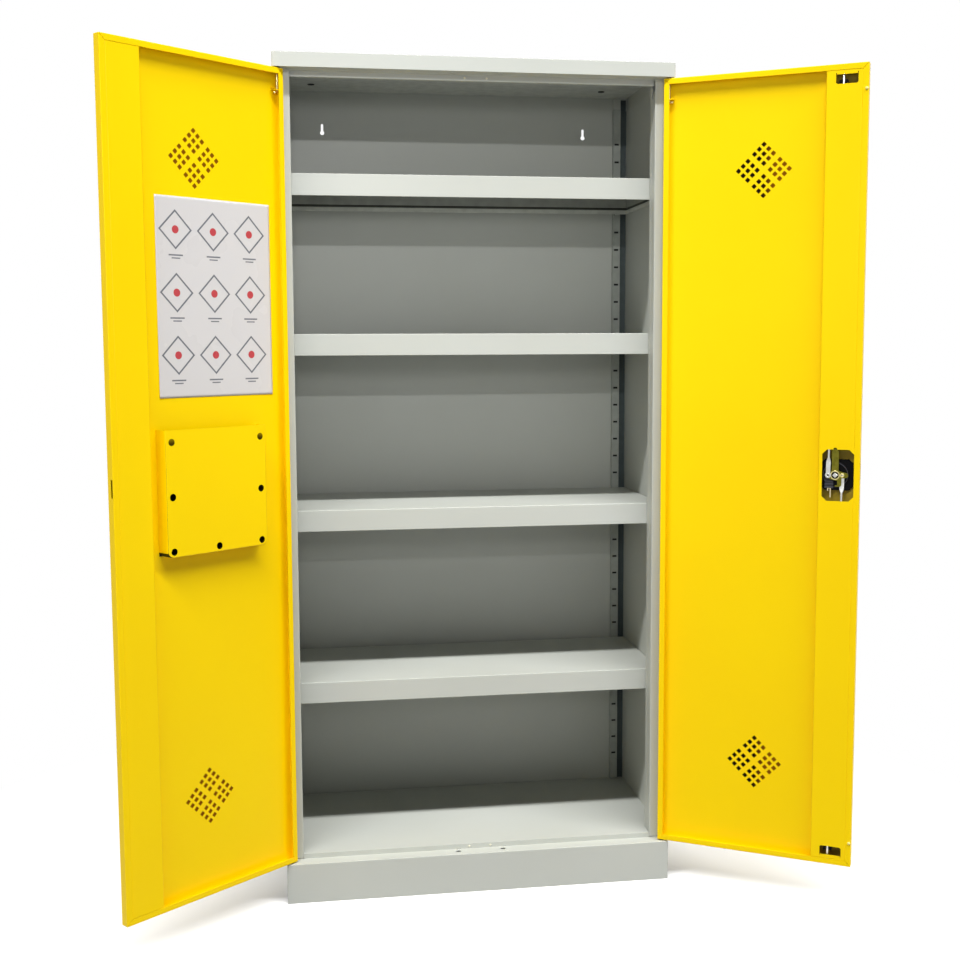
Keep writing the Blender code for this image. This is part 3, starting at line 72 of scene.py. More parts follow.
right, up, back = camera_axes(YAW, PITCH, ROLL)
lens = bpy.data.cameras.new("photo_camera")
lens.sensor_width = SENSOR_WIDE
lens.lens = SENSOR_WIDE * FOCAL_PIXELS / IMAGE_SIDE
lens.shift_x = (IMAGE_SIDE / 2 - MIDDLE_X) / IMAGE_SIDE
lens.shift_y = (MIDDLE_Y - IMAGE_SIDE / 2) / IMAGE_SIDE
camera = bpy.data.objects.new("photo_camera", lens)
bpy.context.scene.collection.objects.link(camera)
camera.matrix_world = Matrix([[*row, place] for row, place in zip(np.stack([right, up, back], 1), CAMERA_PLACE)]
                             + [[0, 0, 0, 1]])
bpy.context.scene.camera = camera
bpy.context.scene.view_settings.view_transform = "Standard"
print("lens", round(lens.lens, 2), "mm, shift", round(lens.shift_x, 4), round(lens.shift_y, 4))

# %% [markdown]
# ## Helpers for node materials
# A finish is a small tree of nodes. These helpers add a node, set its sockets and link it, so that each finish below
# reads like a recipe. Colours are written as they look on a screen, from 0 to 255, and turned into linear light.


# %% Node helpers
def linear(*levels):
    """Screen levels to linear light: divide by 255, then the standard curve with its straight foot."""
    share = np.array(levels, float) / 255
    value = np.where(share <= 0.04045, share / 12.92, ((share + 0.055) / 1.055) ** 2.4)
    return (*value.tolist(), 1.0)


def fill(tree, made, values):
    """Sets or links the sockets of a node, each by its name or its number."""
    for key, value in values.items():
        socket = made.inputs[int(key) if key.isdigit() else key]
        if isinstance(value, bpy.types.NodeSocket):
            tree.links.new(value, socket)
        else:
            socket.default_value = value
    return made


def node(tree, kind, **settings):
    """Adds a node. A setting named in_3 or in_Scale sets or links that socket, any other sets a property."""
    made = tree.nodes.new(kind)
    for key, value in settings.items():
        if not key.startswith("in_"):
            setattr(made, key, value)
    return fill(tree, made, {key[3:]: value for key, value in settings.items() if key.startswith("in_")})


def new_group(name, inputs, outputs):
    """An empty shader group with named number inputs and outputs, its entry node and its exit node."""
    group = bpy.data.node_groups.new(name, "ShaderNodeTree")
    for label, value in inputs.items():
        group.interface.new_socket(name=label, in_out="INPUT", socket_type="NodeSocketFloat").default_value = value
    for label in outputs:
        group.interface.new_socket(name=label, in_out="OUTPUT", socket_type="NodeSocketFloat")
    return group, group.nodes.new("NodeGroupInput"), group.nodes.new("NodeGroupOutput")


def object_place(tree):
    """The place in the object's own measure."""
    return node(tree, "ShaderNodeTexCoord").outputs["Object"]


def noise(tree, place, scale, detail=3.0, roughness=0.5):
    """The value of a noise texture at a place."""
    return node(tree, "ShaderNodeTexNoise", in_Vector=place, in_Scale=scale, in_Detail=detail,
                in_Roughness=roughness).outputs[0]


def span(tree, value, low, high, out_low=0.0, out_high=1.0):
    """Maps a value's span to another, held at both ends."""
    return node(tree, "ShaderNodeMapRange", in_0=value, in_1=low, in_2=high, in_3=out_low, in_4=out_high).outputs[0]


def mix(tree, share, first, second):
    """Mixes two colours by a share."""
    return node(tree, "ShaderNodeMix", data_type="RGBA", in_0=share, in_6=first, in_7=second).outputs[2]


def arithmetic(tree, operation, first, second=0.0):
    """One sum on values."""
    return node(tree, "ShaderNodeMath", operation=operation, in_0=first, in_1=second).outputs[0]


def times(tree, first, second):
    """The product of two values."""
    return arithmetic(tree, "MULTIPLY", first, second)


print("node helpers ready")

# %% [markdown]
# ## Shared effects
# Three effects are used by nearly every finish here, so each is built once as a group: the fine waviness of sprayed
# powder, the paint that is thinner and rubbed along folds, and the dust that lies on faces that look up.


# %% Powder coat grain
def build_coat_grain():
    """Height: fine round waves plus a slower swell. Tone: very slow clouds of light and dark, about one half."""
    group, source, sink = new_group("coat_grain", {"Grain size": 380.0, "Swell size": 9.0}, ("Height", "Tone"))
    place = object_place(group)
    fine = noise(group, place, source.outputs["Grain size"], 2.0)
    swell = noise(group, place, source.outputs["Swell size"], 2.0)
    height = arithmetic(group, "ADD", times(group, fine, 0.5), times(group, swell, 0.5))
    fill(group, sink, {"Height": height, "Tone": span(group, noise(group, place, 3.0), 0.3, 0.7)})
    return group


coat_grain = build_coat_grain()


# %% Edge wear
def build_edge_wear():
    """Mask: where the surface turns within a small radius, broken up by noise, from 0 on flats to 1 on folds."""
    group, source, sink = new_group("edge_wear", {"Reach": 0.0015, "Broken": 0.5}, ("Mask",))
    bevelled = node(group, "ShaderNodeBevel", samples=4, in_Radius=source.outputs["Reach"])
    flat = node(group, "ShaderNodeNewGeometry")
    likeness = node(group, "ShaderNodeVectorMath", operation="DOT_PRODUCT", in_0=bevelled.outputs[0],
                    in_1=flat.outputs["Normal"])
    turned = span(group, likeness.outputs["Value"], 0.98, 0.80)
    patches = span(group, noise(group, object_place(group), 60.0, 4.0), 0.35, 0.65)
    kept = arithmetic(group, "SUBTRACT", 1.0, times(group, patches, source.outputs["Broken"]))
    fill(group, sink, {"Mask": times(group, turned, kept)})
    return group


edge_wear = build_edge_wear()


# %% Dust
def build_dust():
    """Mask: how far the surface looks up, times slow patches, so dust gathers on shelves and ledges only."""
    group, source, sink = new_group("settled_dust", {"Amount": 0.3}, ("Mask",))
    facing = node(group, "ShaderNodeSeparateXYZ", in_0=node(group, "ShaderNodeNewGeometry").outputs["Normal"])
    upward = span(group, facing.outputs["Z"], 0.6, 0.95)
    patches = span(group, noise(group, object_place(group), 14.0, 6.0, 0.65), 0.35, 0.75)
    fill(group, sink, {"Mask": times(group, times(group, upward, patches), source.outputs["Amount"])})
    return group


settled_dust = build_dust()
print("groups:", [group.name for group in bpy.data.node_groups])

# %% [markdown]
# ## Finishes
# The steel is powder coated: light grey on the case and a warm yellow on the doors. Powder gives a soft gloss over
# fine waves. One recipe makes both, with its own colours and shine, because they differ in little else.

# %% Paint finishes
COAT_GLOSS, COAT_DUST = 0.36, 0.12


def start_material(name):
    """A new node material, its tree and its Principled shader."""
    material = bpy.data.materials.new(name)
    material.use_nodes = True
    return material, material.node_tree, material.node_tree.nodes["Principled BSDF"]


def placed(tree, group, **values):
    """Puts a shared effect into a material with this material's own values."""
    return fill(tree, node(tree, "ShaderNodeGroup", node_tree=group), values)


def bump(tree, shader, height, strength, distance):
    """Feeds a height into the shader's normal."""
    made = node(tree, "ShaderNodeBump", in_Strength=strength, in_Distance=distance, in_Height=height)
    fill(tree, shader, {"Normal": made.outputs[0]})


def powder_coat(name, light, dark, edge, dust, shine=0.3):
    """Powder-coated steel: two close tones by the slow clouds, a paler edge on folds, a little dust on top."""
    material, tree, shader = start_material(name)
    grain, folds = placed(tree, coat_grain), placed(tree, edge_wear)
    lying = placed(tree, settled_dust, Amount=COAT_DUST).outputs["Mask"]
    tone = mix(tree, grain.outputs["Tone"], dark, light)
    worn = mix(tree, times(tree, folds.outputs["Mask"], 0.45), tone, edge)
    rough = span(tree, grain.outputs["Tone"], 0.0, 1.0, COAT_GLOSS - 0.03, COAT_GLOSS + 0.03)
    fill(tree, shader, {"Specular IOR Level": shine, "Base Color": mix(tree, lying, worn, dust),
                        "Roughness": arithmetic(tree, "ADD", rough, times(tree, lying, 0.3))})
    bump(tree, shader, grain.outputs["Height"], 0.12, 0.0004)
    return material


grey_coat = powder_coat("light_grey_coat", linear(190, 193, 187), linear(186, 189, 182), linear(203, 205, 197),
                        linear(190, 188, 176))
yellow_coat = powder_coat("yellow_coat", linear(252, 216, 0), linear(251, 212, 0), linear(255, 224, 24),
                          linear(240, 206, 50), shine=0.15)
print("coats:", grey_coat.name, yellow_coat.name)

# %% [markdown]
# The small parts are plated steel, brass, and black, pale and dark plastic or rubber. Metals and plastics get a
# recipe each with the same helpers, because a metal shows streaks or crystals, and a plastic a fine moulded texture.


# %% Metal finishes
def plated_metal(name, light, dark, rough=0.32, size=220.0):
    """Plated steel: a pattern of small crystal cells and streaks changes the tone and the gloss."""
    material, tree, shader = start_material(name)
    place = object_place(tree)
    cells = node(tree, "ShaderNodeTexVoronoi", in_Vector=place, in_Scale=size)
    streaks = noise(tree, node(tree, "ShaderNodeMapping", in_0=place, in_3=(40.0, 40.0, 4.0)).outputs[0], 12.0)
    blend = times(tree, span(tree, cells.outputs["Color"], 0.0, 1.0), 0.5)
    share = arithmetic(tree, "ADD", blend, times(tree, streaks, 0.5))
    worn = placed(tree, edge_wear, Reach=0.0006).outputs["Mask"]
    fill(tree, shader, {"Base Color": mix(tree, worn, mix(tree, share, dark, light), light), "Metallic": 1.0,
                        "Roughness": span(tree, share, 0.0, 1.0, rough + 0.08, rough - 0.06)})
    bump(tree, shader, share, 0.10, 0.0002)
    return material


zinc = plated_metal("bright_zinc", linear(214, 214, 210), linear(176, 177, 174))
chromate = plated_metal("yellow_chromate", linear(124, 118, 42), linear(80, 79, 22), 0.40, 160.0)
# Pale chromate is a real plating. On the hinge pins its yellow also stands in as a painted reflection of the yellow
# doors.
pale_chromate_with_painted_reflection = plated_metal("pale_chromate_with_painted_reflection", linear(226, 214, 160), linear(196, 182, 118), 0.30, 200.0)
brass = plated_metal("pale_brass", linear(232, 220, 186), linear(204, 186, 140), 0.28, 300.0)
print("metals:", zinc.name, chromate.name, pale_chromate_with_painted_reflection.name, brass.name)


# %% Plastic and rubber finishes
def moulded(name, light, dark, rough, size=900.0, shine=0.25):
    """Moulded plastic or rubber: a fine eroded texture, paler on rubbed edges."""
    material, tree, shader = start_material(name)
    place = object_place(tree)
    texture, clouds = noise(tree, place, size), noise(tree, place, 25.0, 2.0)
    worn = times(tree, placed(tree, edge_wear, Reach=0.0008).outputs["Mask"], 0.5)
    tone = mix(tree, clouds, dark, light)
    fill(tree, shader, {"Specular IOR Level": shine, "Base Color": mix(tree, worn, tone, light),
                        "Roughness": span(tree, clouds, 0.2, 0.8, rough - 0.05, rough + 0.05)})
    bump(tree, shader, texture, 0.25, 0.0001)
    return material


black_plastic = moulded("black_plastic", linear(14, 14, 16), linear(8, 8, 9), 0.38, shine=0.06)
dark_grey_plastic = moulded("dark_grey_plastic", linear(74, 74, 80), linear(54, 54, 60), 0.42, shine=0.12)
cream_plastic = moulded("cream_plastic", linear(246, 236, 150), linear(238, 226, 130), 0.45)
pale_plastic = moulded("pale_plastic", linear(236, 233, 214), linear(222, 218, 196), 0.42)
rubber = moulded("dark_rubber", linear(58, 50, 42), linear(36, 31, 27), 0.65, 500.0)
print("materials:", len(bpy.data.materials))

# %% [markdown]
# ## Gauze behind the vents
# A woven screen lies behind the square holes of each vent. In the photograph it looks brown, but nearly black in one
# part of the right door. So its inner face is painted brown for light that falls through, and nearly black as painted
# shade, and two colours meet there. Its outer face is dark all over.

# %% Woven gauze, with painted light and painted shade
OPEN = {"left": math.radians(-140.33), "right": math.radians(148.90)}
THREAD_TURNS = 2 * math.pi / 0.0016
# Painted light and shade: brown stands for light falling through the vents, nearly black for shade.
PAINTED_LIGHT_BROWN, PAINTED_SHADE_BLACK, OUTER_GAUZE = linear(146, 88, 8), linear(26, 15, 6), linear(34, 35, 37)


def mesh_points(mesh):
    """The places of a mesh's points as rows of an array."""
    points = np.empty(len(mesh.vertices) * 3)
    mesh.vertices.foreach_get("co", points)
    return points.reshape(-1, 3)


def woven(side, near, far, middle=0.0, half=1.0):
    """Threads every 1.6 mm both ways, in two colours that change over at a place across the vent. The colours are
    painted:
    brown for light falling through, nearly black for shade. Between the threads the colour is painted half as dark, as
    shade. The outer face begins halfway through the screen's thickness, measured along the door's outward direction."""
    material, tree, shader = start_material(side + "_gauze")
    place = object_place(tree)
    across = node(tree, "ShaderNodeSeparateXYZ", in_0=place).outputs["X"]
    turned = node(tree, "ShaderNodeMapping", in_Vector=place, in_Rotation=(0.0, 0.0, -OPEN[side])).outputs[0]
    axis = node(tree, "ShaderNodeSeparateXYZ", in_0=turned)
    waves = [arithmetic(tree, "SINE", times(tree, axis.outputs[key], THREAD_TURNS)) for key in "XZ"]
    weave = span(tree, arithmetic(tree, "MAXIMUM", *waves), -0.6, 1.0)
    outward = (math.sin(OPEN[side]), -math.cos(OPEN[side]), 0.0)
    levels = mesh_points(nodes[side + "_door_upper_vent_screen"].data) @ np.array(outward)
    level = float((levels.min() + levels.max()) / 2)
    depth = node(tree, "ShaderNodeVectorMath", operation="DOT_PRODUCT", in_0=place, in_1=outward).outputs["Value"]
    colour = mix(tree, span(tree, across, middle - half, middle + half), near, far)
    colour = mix(tree, span(tree, depth, level - 0.0001, level + 0.0001), colour, OUTER_GAUZE)
    # Painted shade: the gaps between the threads are half as dark.
    shade = mix(tree, 0.5, colour, (0, 0, 0, 1))
    fill(tree, shader, {"Specular IOR Level": 0.04, "Base Color": mix(tree, weave, shade, colour),
                        "Roughness": span(tree, noise(tree, place, 25.0, 2.0), 0.2, 0.8, 0.75, 0.85)})
    bump(tree, shader, weave, 0.5, 0.0004)
    print(side, "screen is", round(float(np.ptp(levels)) * 1000, 2), "mm thick")
    return material


left_gauze = woven("left", PAINTED_LIGHT_BROWN, PAINTED_LIGHT_BROWN)
right_gauze = woven("right", PAINTED_SHADE_BLACK, PAINTED_LIGHT_BROWN, 0.652, 0.012)

# %% [markdown]
# ## Solids that stay
# A solid whose shape is right keeps its place and only gets a finish. Words in the nodes' names say what each is
# made of, so a short rule is enough, and whatever it doesn't name is part of the grey case.


# %% Give every solid its finish
def finish_of(name):
    """The finish that fits the words in a node's name."""
    if "screen" in name:
        return left_gauze if "left" in name else right_gauze
    if any(word in name for word in ("bush", "plug", "guide")):
        return black_plastic
    return yellow_coat if "door" in name else grey_coat


for name, solid in nodes.items():
    solid.data.materials.clear()
    solid.data.materials.append(finish_of(name))
print("finished solids:", len(nodes))

# %% [markdown]
# ## Surfaces on grids
# Folded sheet metal is a profile carried along a path: round the four sides of a rectangle for doors, shelves, cap
# and plinth, or straight up for posts and stiffeners. So a piece is a grid of points, one row for each place on the
# path or profile, and quads join neighbouring rows. Folds are rounded in the profile itself, which costs few faces.

# %% Surface helpers
LONGEST_REACH, SMALLEST_RADIUS, CORNER_STEPS = 0.45, 0.0001, 3


def put_mesh(name, points, faces):
    """A mesh object at the origin from an array of points and lists of corners."""
    mesh = bpy.data.meshes.new(name)
    mesh.from_pydata(np.asarray(points, float).reshape(-1, 3).tolist(), [], [list(face) for face in faces])
    item = bpy.data.objects.new(name, mesh)
    bpy.context.scene.collection.objects.link(item)
    return item


def ring_faces(rows, ring, start=0, loop=False):
    """Quads that join each ring of points to the next, and the last to the first if it is a loop. Otherwise a face
    closes each end."""
    index = np.arange(rows * ring).reshape(rows, ring) + start
    here, there = (index, np.roll(index, -1, 0)) if loop else (index[:-1], index[1:])
    quads = np.stack([here, np.roll(here, -1, 1), np.roll(there, -1, 1), there], -1).reshape(-1, 4).tolist()
    return quads if loop else quads + [index[0][::-1].tolist(), index[-1].tolist()]


def solid_mesh(name, points, faces, finish=None, smooth=None):
    """A mesh with its faces turned outward, and smooth shading where neighbours meet below an angle in degrees."""
    item = put_mesh(name, points, faces)
    shape = bmesh.new()
    shape.from_mesh(item.data)
    bmesh.ops.recalc_face_normals(shape, faces=shape.faces)
    shape.to_mesh(item.data)
    shape.free()
    if smooth:
        item.data.polygons.foreach_set("use_smooth", np.ones(len(item.data.polygons), bool))
        item.data.set_sharp_from_angle(angle=math.radians(smooth))
    if finish:
        item.data.materials.append(finish)
    return item


def surface(name, grid, finish, loop=False, smooth=None):
    """A piece from a grid whose rows are closed rings."""
    return solid_mesh(name, grid, ring_faces(*np.shape(grid)[:2], loop=loop), finish, smooth)


def rounded(corners, reach, steps=5, closed=True):
    """Rounds the corners of an outline. Each corner C becomes a curve from A, a reach before it, to B, a reach after:
    the point at t is (1-t)^2 A + 2t(1-t) C + t^2 B. A reach stays below half a side, and an open outline keeps its
    two end points."""
    corners = np.asarray(corners, float)
    reach = np.broadcast_to(reach, len(corners)).astype(float)[:, None]
    back, ahead = np.roll(corners, 1, 0) - corners, np.roll(corners, -1, 0) - corners
    far_back, far_ahead = (np.linalg.norm(way, axis=1, keepdims=True) for way in (back, ahead))
    first = corners + back / far_back * np.minimum(reach, far_back * LONGEST_REACH)
    last = corners + ahead / far_ahead * np.minimum(reach, far_ahead * LONGEST_REACH)
    t = np.linspace(0, 1, steps + 1)[None, :, None]
    curve = (1 - t) ** 2 * first[:, None] + 2 * t * (1 - t) * corners[:, None] + t ** 2 * last[:, None]
    if closed:
        return curve.reshape(-1, corners.shape[1])
    return np.concatenate([corners[:1], curve[1:-1].reshape(-1, corners.shape[1]), corners[-1:]])


def rectangle_rings(profile, low, high, corner):
    """Carries a profile of inset and level round a rectangle. A ring's four corners are arcs whose radius shrinks
    with the inset, about centres that stay put. Gives one row for each point of the profile: first, second, level."""
    inset, level = np.asarray(profile, float).T
    radius = np.maximum(corner - inset, SMALLEST_RADIUS)[:, None, None]
    turn = np.linspace(0, math.pi / 2, CORNER_STEPS + 1)[None, :] + (np.arange(4) * math.pi / 2 + math.pi)[:, None]
    centre = inset[:, None, None] + radius
    across = np.array([0, 1, 1, 0])[None, :, None]
    along = np.array([0, 0, 1, 1])[None, :, None]
    first = np.where(across, high[0] - centre, low[0] + centre) + radius * np.cos(turn)[None]
    second = np.where(along, high[1] - centre, low[1] + centre) + radius * np.sin(turn)[None]
    rows = [value.reshape(len(inset), -1) for value in (first, second)]
    return np.stack([*rows, np.broadcast_to(level[:, None], rows[0].shape)], -1)


def folded(path, thickness, reach, steps):
    """The outline of a folded sheet: the rounded path, and back along a copy moved to its left by the thickness."""
    face = rounded(path, reach, steps, closed=False)
    run = np.gradient(face, axis=0)
    run /= np.linalg.norm(run, axis=1, keepdims=True)
    return np.concatenate([face, (face + np.stack([-run[:, 1], run[:, 0]], 1) * thickness)[::-1]])


def pushed(outline, places):
    """An outline of two values pushed through places of a third: one row for each place, in the order 1, 2, place."""
    return np.stack([np.column_stack([outline, np.full(len(outline), place)]) for place in places])


def axes(grid, order):
    """The same grid with its three values put in another order."""
    return np.asarray(grid)[..., list(order)]


print("surface helpers ready")

# %% [markdown]
# Outlines are drawn from a few simple forms: rectangles, rectangles with their corners cut off, arcs and circles.


# %% Outlines
def rectangle(low, high):
    """The four corners of a rectangle, from its lowest and its highest one."""
    return np.array([low, (high[0], low[1]), high, (low[0], high[1])], float)


def octagon(middle, half_wide, half_tall, chamfer):
    """A rectangle with its corners cut off: each corner gives two points, a chamfer away along its sides."""
    x = np.array([1, 1, 1, -1, -1, -1, -1, 1]) * half_wide - np.array([0, 0, 1, -1, 0, 0, -1, 1]) * chamfer
    z = np.array([-1, 1, 1, 1, 1, -1, -1, -1]) * half_tall - np.array([-1, 1, 0, 0, 1, -1, 0, 0]) * chamfer
    return np.stack([middle[0] + x, middle[1] + z], 1)


def around(middle, radius, turn):
    """Points about a middle: the middle plus radius times cosine and sine of each turn."""
    return np.stack([middle[0] + radius * np.cos(turn), middle[1] + radius * np.sin(turn)], 1)


def full_turn(sides):
    """Evenly spaced angles once round."""
    return np.arange(sides) * 2 * math.pi / sides


def circle(middle, radius, sides=24):
    """Points of a circle, the first at angle zero."""
    return around(middle, radius, full_turn(sides))


def arc(middle, radius, start, end, steps):
    """Points of an arc between two angles in degrees."""
    return around(middle, radius, np.radians(np.linspace(start, end, steps + 1)))


print("an octagon has", len(octagon((0, 0), 2, 1, 0.5)), "corners, a circle", len(circle((0, 0), 1)))


# %% Cut, soften and keep
SOFT_ANGLE = 35


def cut(piece, *grids):
    """Cuts closed prisms out of a piece. Each grid is one prism, and all of them go into one cutter mesh."""
    points, faces = [], []
    for grid in grids:
        faces += ring_faces(*grid.shape[:2], start=sum(map(len, points)))
        points.append(grid.reshape(-1, 3))
    cutter = solid_mesh("cutter", np.concatenate(points), faces)
    change = piece.modifiers.new("cut", "BOOLEAN")
    change.operation, change.solver, change.object = "DIFFERENCE", "EXACT", cutter
    bpy.context.view_layer.update()
    made = piece.evaluated_get(bpy.context.evaluated_depsgraph_get())
    mesh = bpy.data.meshes.new_from_object(made)
    piece.modifiers.clear()
    piece.data = mesh
    bpy.data.objects.remove(cutter, do_unlink=True)


def soften(piece, width, segments=2):
    """Rounds a finished piece's edges a little, as stamped and moulded parts have them."""
    change = piece.modifiers.new("soft_edges", "BEVEL")
    change.width, change.segments, change.limit_method = width, segments, "ANGLE"
    change.angle_limit = math.radians(SOFT_ANGLE)
    return piece


def keep(piece, body, slot, *replaced):
    """Hides the solids that a piece stands for and hangs the piece on the body that it moves with. The slot is not
    used.
    """
    if replaced:
        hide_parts(*replaced)
    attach(piece, body)
    print(piece.name, "on", body, "faces", len(piece.data.polygons))


# %% [markdown]
# ## The door's own measure
# Door pieces are easiest to lay out as distances along the door from its hinge edge, in from its outer skin and up
# from the floor. One function turns them into places, by turning about the hinge pin to where the door stands open.

# %% Door frame
SHEET = 0.001
DOOR_LONG, DOOR_THICK, DOOR_LOW, DOOR_HIGH = 0.4585, 0.020, 0.0975, 1.915
PIN_X, PIN_Y, PIN_ALONG, PIN_IN, PIN_BORE = 0.449, 0.014, 0.010, 0.010, 0.00335
LOCK_ALONG, LOCK_UP = 0.404, 1.007
LOCK = (LOCK_ALONG, LOCK_UP)
ROD_ALONG, ROD_IN = 0.405, 0.0154
DISH_ALONG, CHAMFER = 0.4065, 0.0105
WAY = {"left": -1, "right": 1}
ROOT_HALF = math.sqrt(0.5)


def hang(side, grid):
    """Along, in and up to places: measure from the pin, mirror the right door, turn by the open angle and move."""
    along, depth, height = np.moveaxis(np.asarray(grid, float), -1, 0)
    x, y = -WAY[side] * (along - PIN_ALONG), depth - PIN_IN
    cos, sin = math.cos(OPEN[side]), math.sin(OPEN[side])
    return np.stack([WAY[side] * PIN_X + x * cos - y * sin, PIN_Y + x * sin + y * cos, height], -1)


def door_prism(side, outline, start, end):
    """An outline of along and up, pushed from one depth to another."""
    return hang(side, axes(pushed(outline, (start, end)), (0, 2, 1)))


def along_prism(side, outline, start, end):
    """An outline of depth and up, pushed from one place along the door to another."""
    return hang(side, axes(pushed(outline, (start, end)), (2, 0, 1)))


print("door frame ready, lock at", LOCK)

# %% [markdown]
# ## Door pans
# A door is one sheet. Its skin is folded in on all four sides and turned back as a narrow lip, which makes the shell
# stiff. The profile of inset and depth is carried round the door's rectangle, then the vent squares, the lock's
# octagon and the holes in the folds are cut, as the punch cuts them in the flat sheet.

# %% Vent squares
VENT_UP = (DOOR_HIGH - 0.2175, DOOR_LOW + 0.2175)
VENT_HOLE, VENT_PITCH, VENT_GAP = 0.0092, 0.015, 0.006
SKIN_CUT = (-0.004, 0.005)


def vent_squares(side, height):
    """Six by six squares on their corners. Steps of 15 mm with one of 21 mm in the middle run along two diagonals:
    along is their difference and up their sum, both over the square root of two."""
    steps = np.arange(6) * VENT_PITCH + (np.arange(6) > 2) * VENT_GAP
    steps -= steps.mean()
    first, second = (value.ravel() for value in np.meshgrid(steps, steps))
    return [door_prism(side, circle((DOOR_LONG / 2 + a, height + b), VENT_HOLE * ROOT_HALF, 4), *SKIN_CUT)
            for a, b in zip((first - second) * ROOT_HALF, (first + second) * ROOT_HALF)]


print("squares in a vent:", len(vent_squares("left", VENT_UP[0])))


# %% Pan and its cuts
SKIN_REACH, LIP, FOLD_REACH = 0.06, 0.013, 0.0016
EDGE_CUT, ROD_BORE = 0.004, 0.0037
PAN_PROFILE = rounded([(SKIN_REACH, 0), (0, 0), (0, DOOR_THICK), (LIP, DOOR_THICK), (LIP, DOOR_THICK - SHEET),
                       (SHEET, DOOR_THICK - SHEET), (SHEET, SHEET), (SKIN_REACH, SHEET)],
                      [0, FOLD_REACH, FOLD_REACH, 0.0003, 0.0003, 0.0008, 0.0008, 0], 4, closed=False)


def arm_slot(side):
    """The slot in the free edge that the lock's arm swings through."""
    return door_prism(side, rectangle((0.452, 0.998), (0.463, 1.0355)), 0.0116, 0.0176)


def mitres(side):
    """Open joints across the four corners of the turned-back lip, 0.9 mm wide, from 2 to 19 mm along each diagonal."""
    bar = rectangle((0.002, -0.00045), (0.019, 0.00045))
    turned = np.stack([(bar[:, 0] - bar[:, 1]) * ROOT_HALF, (bar[:, 0] + bar[:, 1]) * ROOT_HALF], 1)
    return [door_prism(side, turned * (way, up) + (along, height), DOOR_THICK - 0.0012, DOOR_THICK + 0.001)
            for along, way in ((0, 1), (DOOR_LONG, -1)) for height, up in ((DOOR_LOW, 1), (DOOR_HIGH, -1))]


def edge_bores(side, along, depth, radius):
    """Round bores through the top and the bottom fold."""
    ring = circle((along, depth), radius)
    return [hang(side, pushed(ring, (level - EDGE_CUT, level + EDGE_CUT))) for level in (DOOR_LOW, DOOR_HIGH)]


def build_pan(side):
    """The profile carried round the door, with both ends of the profile closed by the skin's two faces."""
    rings = rectangle_rings(PAN_PROFILE, (0, DOOR_LOW), (DOOR_LONG, DOOR_HIGH), 0.0012)
    pan = surface(side + "_door_shell", hang(side, axes(rings, (0, 2, 1))), yellow_coat)
    cuts = vent_squares(side, VENT_UP[0]) + vent_squares(side, VENT_UP[1]) + [arm_slot(side)] + mitres(side)
    cuts += edge_bores(side, PIN_ALONG, PIN_IN, PIN_BORE)
    if side == "right":
        cuts += edge_bores(side, ROD_ALONG, ROD_IN, ROD_BORE)
        cuts.append(door_prism(side, octagon((DISH_ALONG, LOCK_UP), 0.0371, 0.0356, CHAMFER), *SKIN_CUT))
    cut(pan, *cuts)
    keep(pan, side + "_door", "yellow_paint", side + "_door_pan")


for side in WAY:
    build_pan(side)

# %% [markdown]
# A small angle is welded inside each pan near its top. It holds the foot of the upper hinge pin, a bent pin that
# passes through the end fold and the angle. A pin is a tube along a path, so its ring is carried along and its ends
# are domed.

# %% Brackets
BRACKET_DROP = 0.048


def build_bracket(side):
    """A bent strip: down along the skin, then across, where the pin passes through."""
    level = DOOR_HIGH - BRACKET_DROP
    outline = folded([(0.0012, level + 0.010), (0.0012, level), (0.017, level)], 0.0015, 0.0012, 4)
    bracket = surface(side + "_door_upper_bracket", along_prism(side, outline, 0.0012, 0.0208), yellow_coat)
    cut(bracket, hang(side, pushed(circle((PIN_ALONG, PIN_IN), PIN_BORE), (level - 0.006, level + 0.006))))
    keep(bracket, side + "_door", "yellow_paint")


for side in WAY:
    build_bracket(side)


# %% Tubes along a path
def tube(name, path, radii, finish, across, sides=20, smooth=35):
    """A ring carried along a path. At each point the run is the path's direction, the first axis is across times
    run, the second is run times the first, and the ring has that point's radius."""
    path = np.asarray(path, float)
    run = np.gradient(path, axis=0)
    run /= np.linalg.norm(run, axis=1, keepdims=True)
    first = np.cross(np.broadcast_to(across, run.shape), run)
    first /= np.linalg.norm(first, axis=1, keepdims=True)
    second = np.cross(run, first)
    turn = full_turn(sides)
    radii = np.asarray(radii)[:, None, None]
    grid = path[:, None] + radii * (np.cos(turn)[None, :, None] * first[:, None]
                                    + np.sin(turn)[None, :, None] * second[:, None])
    return surface(name, grid, finish, smooth=smooth)


def domed(path, radius, steps=4):
    """Adds a rounded end to both ends of a path: the radius falls as a quarter circle over one radius of length."""
    turn = np.linspace(0.15, math.pi / 2, steps)
    ends = []
    for tip, after in ((path[0], path[1]), (path[-1], path[-2])):
        way = (after - tip) / np.linalg.norm(after - tip)
        ends.append(tip + way * (radius * (1 - np.cos(turn)))[:, None])
    size = radius * np.sin(turn)
    full = np.concatenate([ends[0], path[1:-1], ends[1][::-1]])
    return full, np.concatenate([size, np.full(len(path) - 2, radius), size[::-1]])


# %% Hinge pins
PIN_OUT, PIN_FOOT_DROP, PIN_STUB, PIN_FOOT, PIN_RADIUS = 0.009, 0.053, 0.004, 0.0105, 0.00272


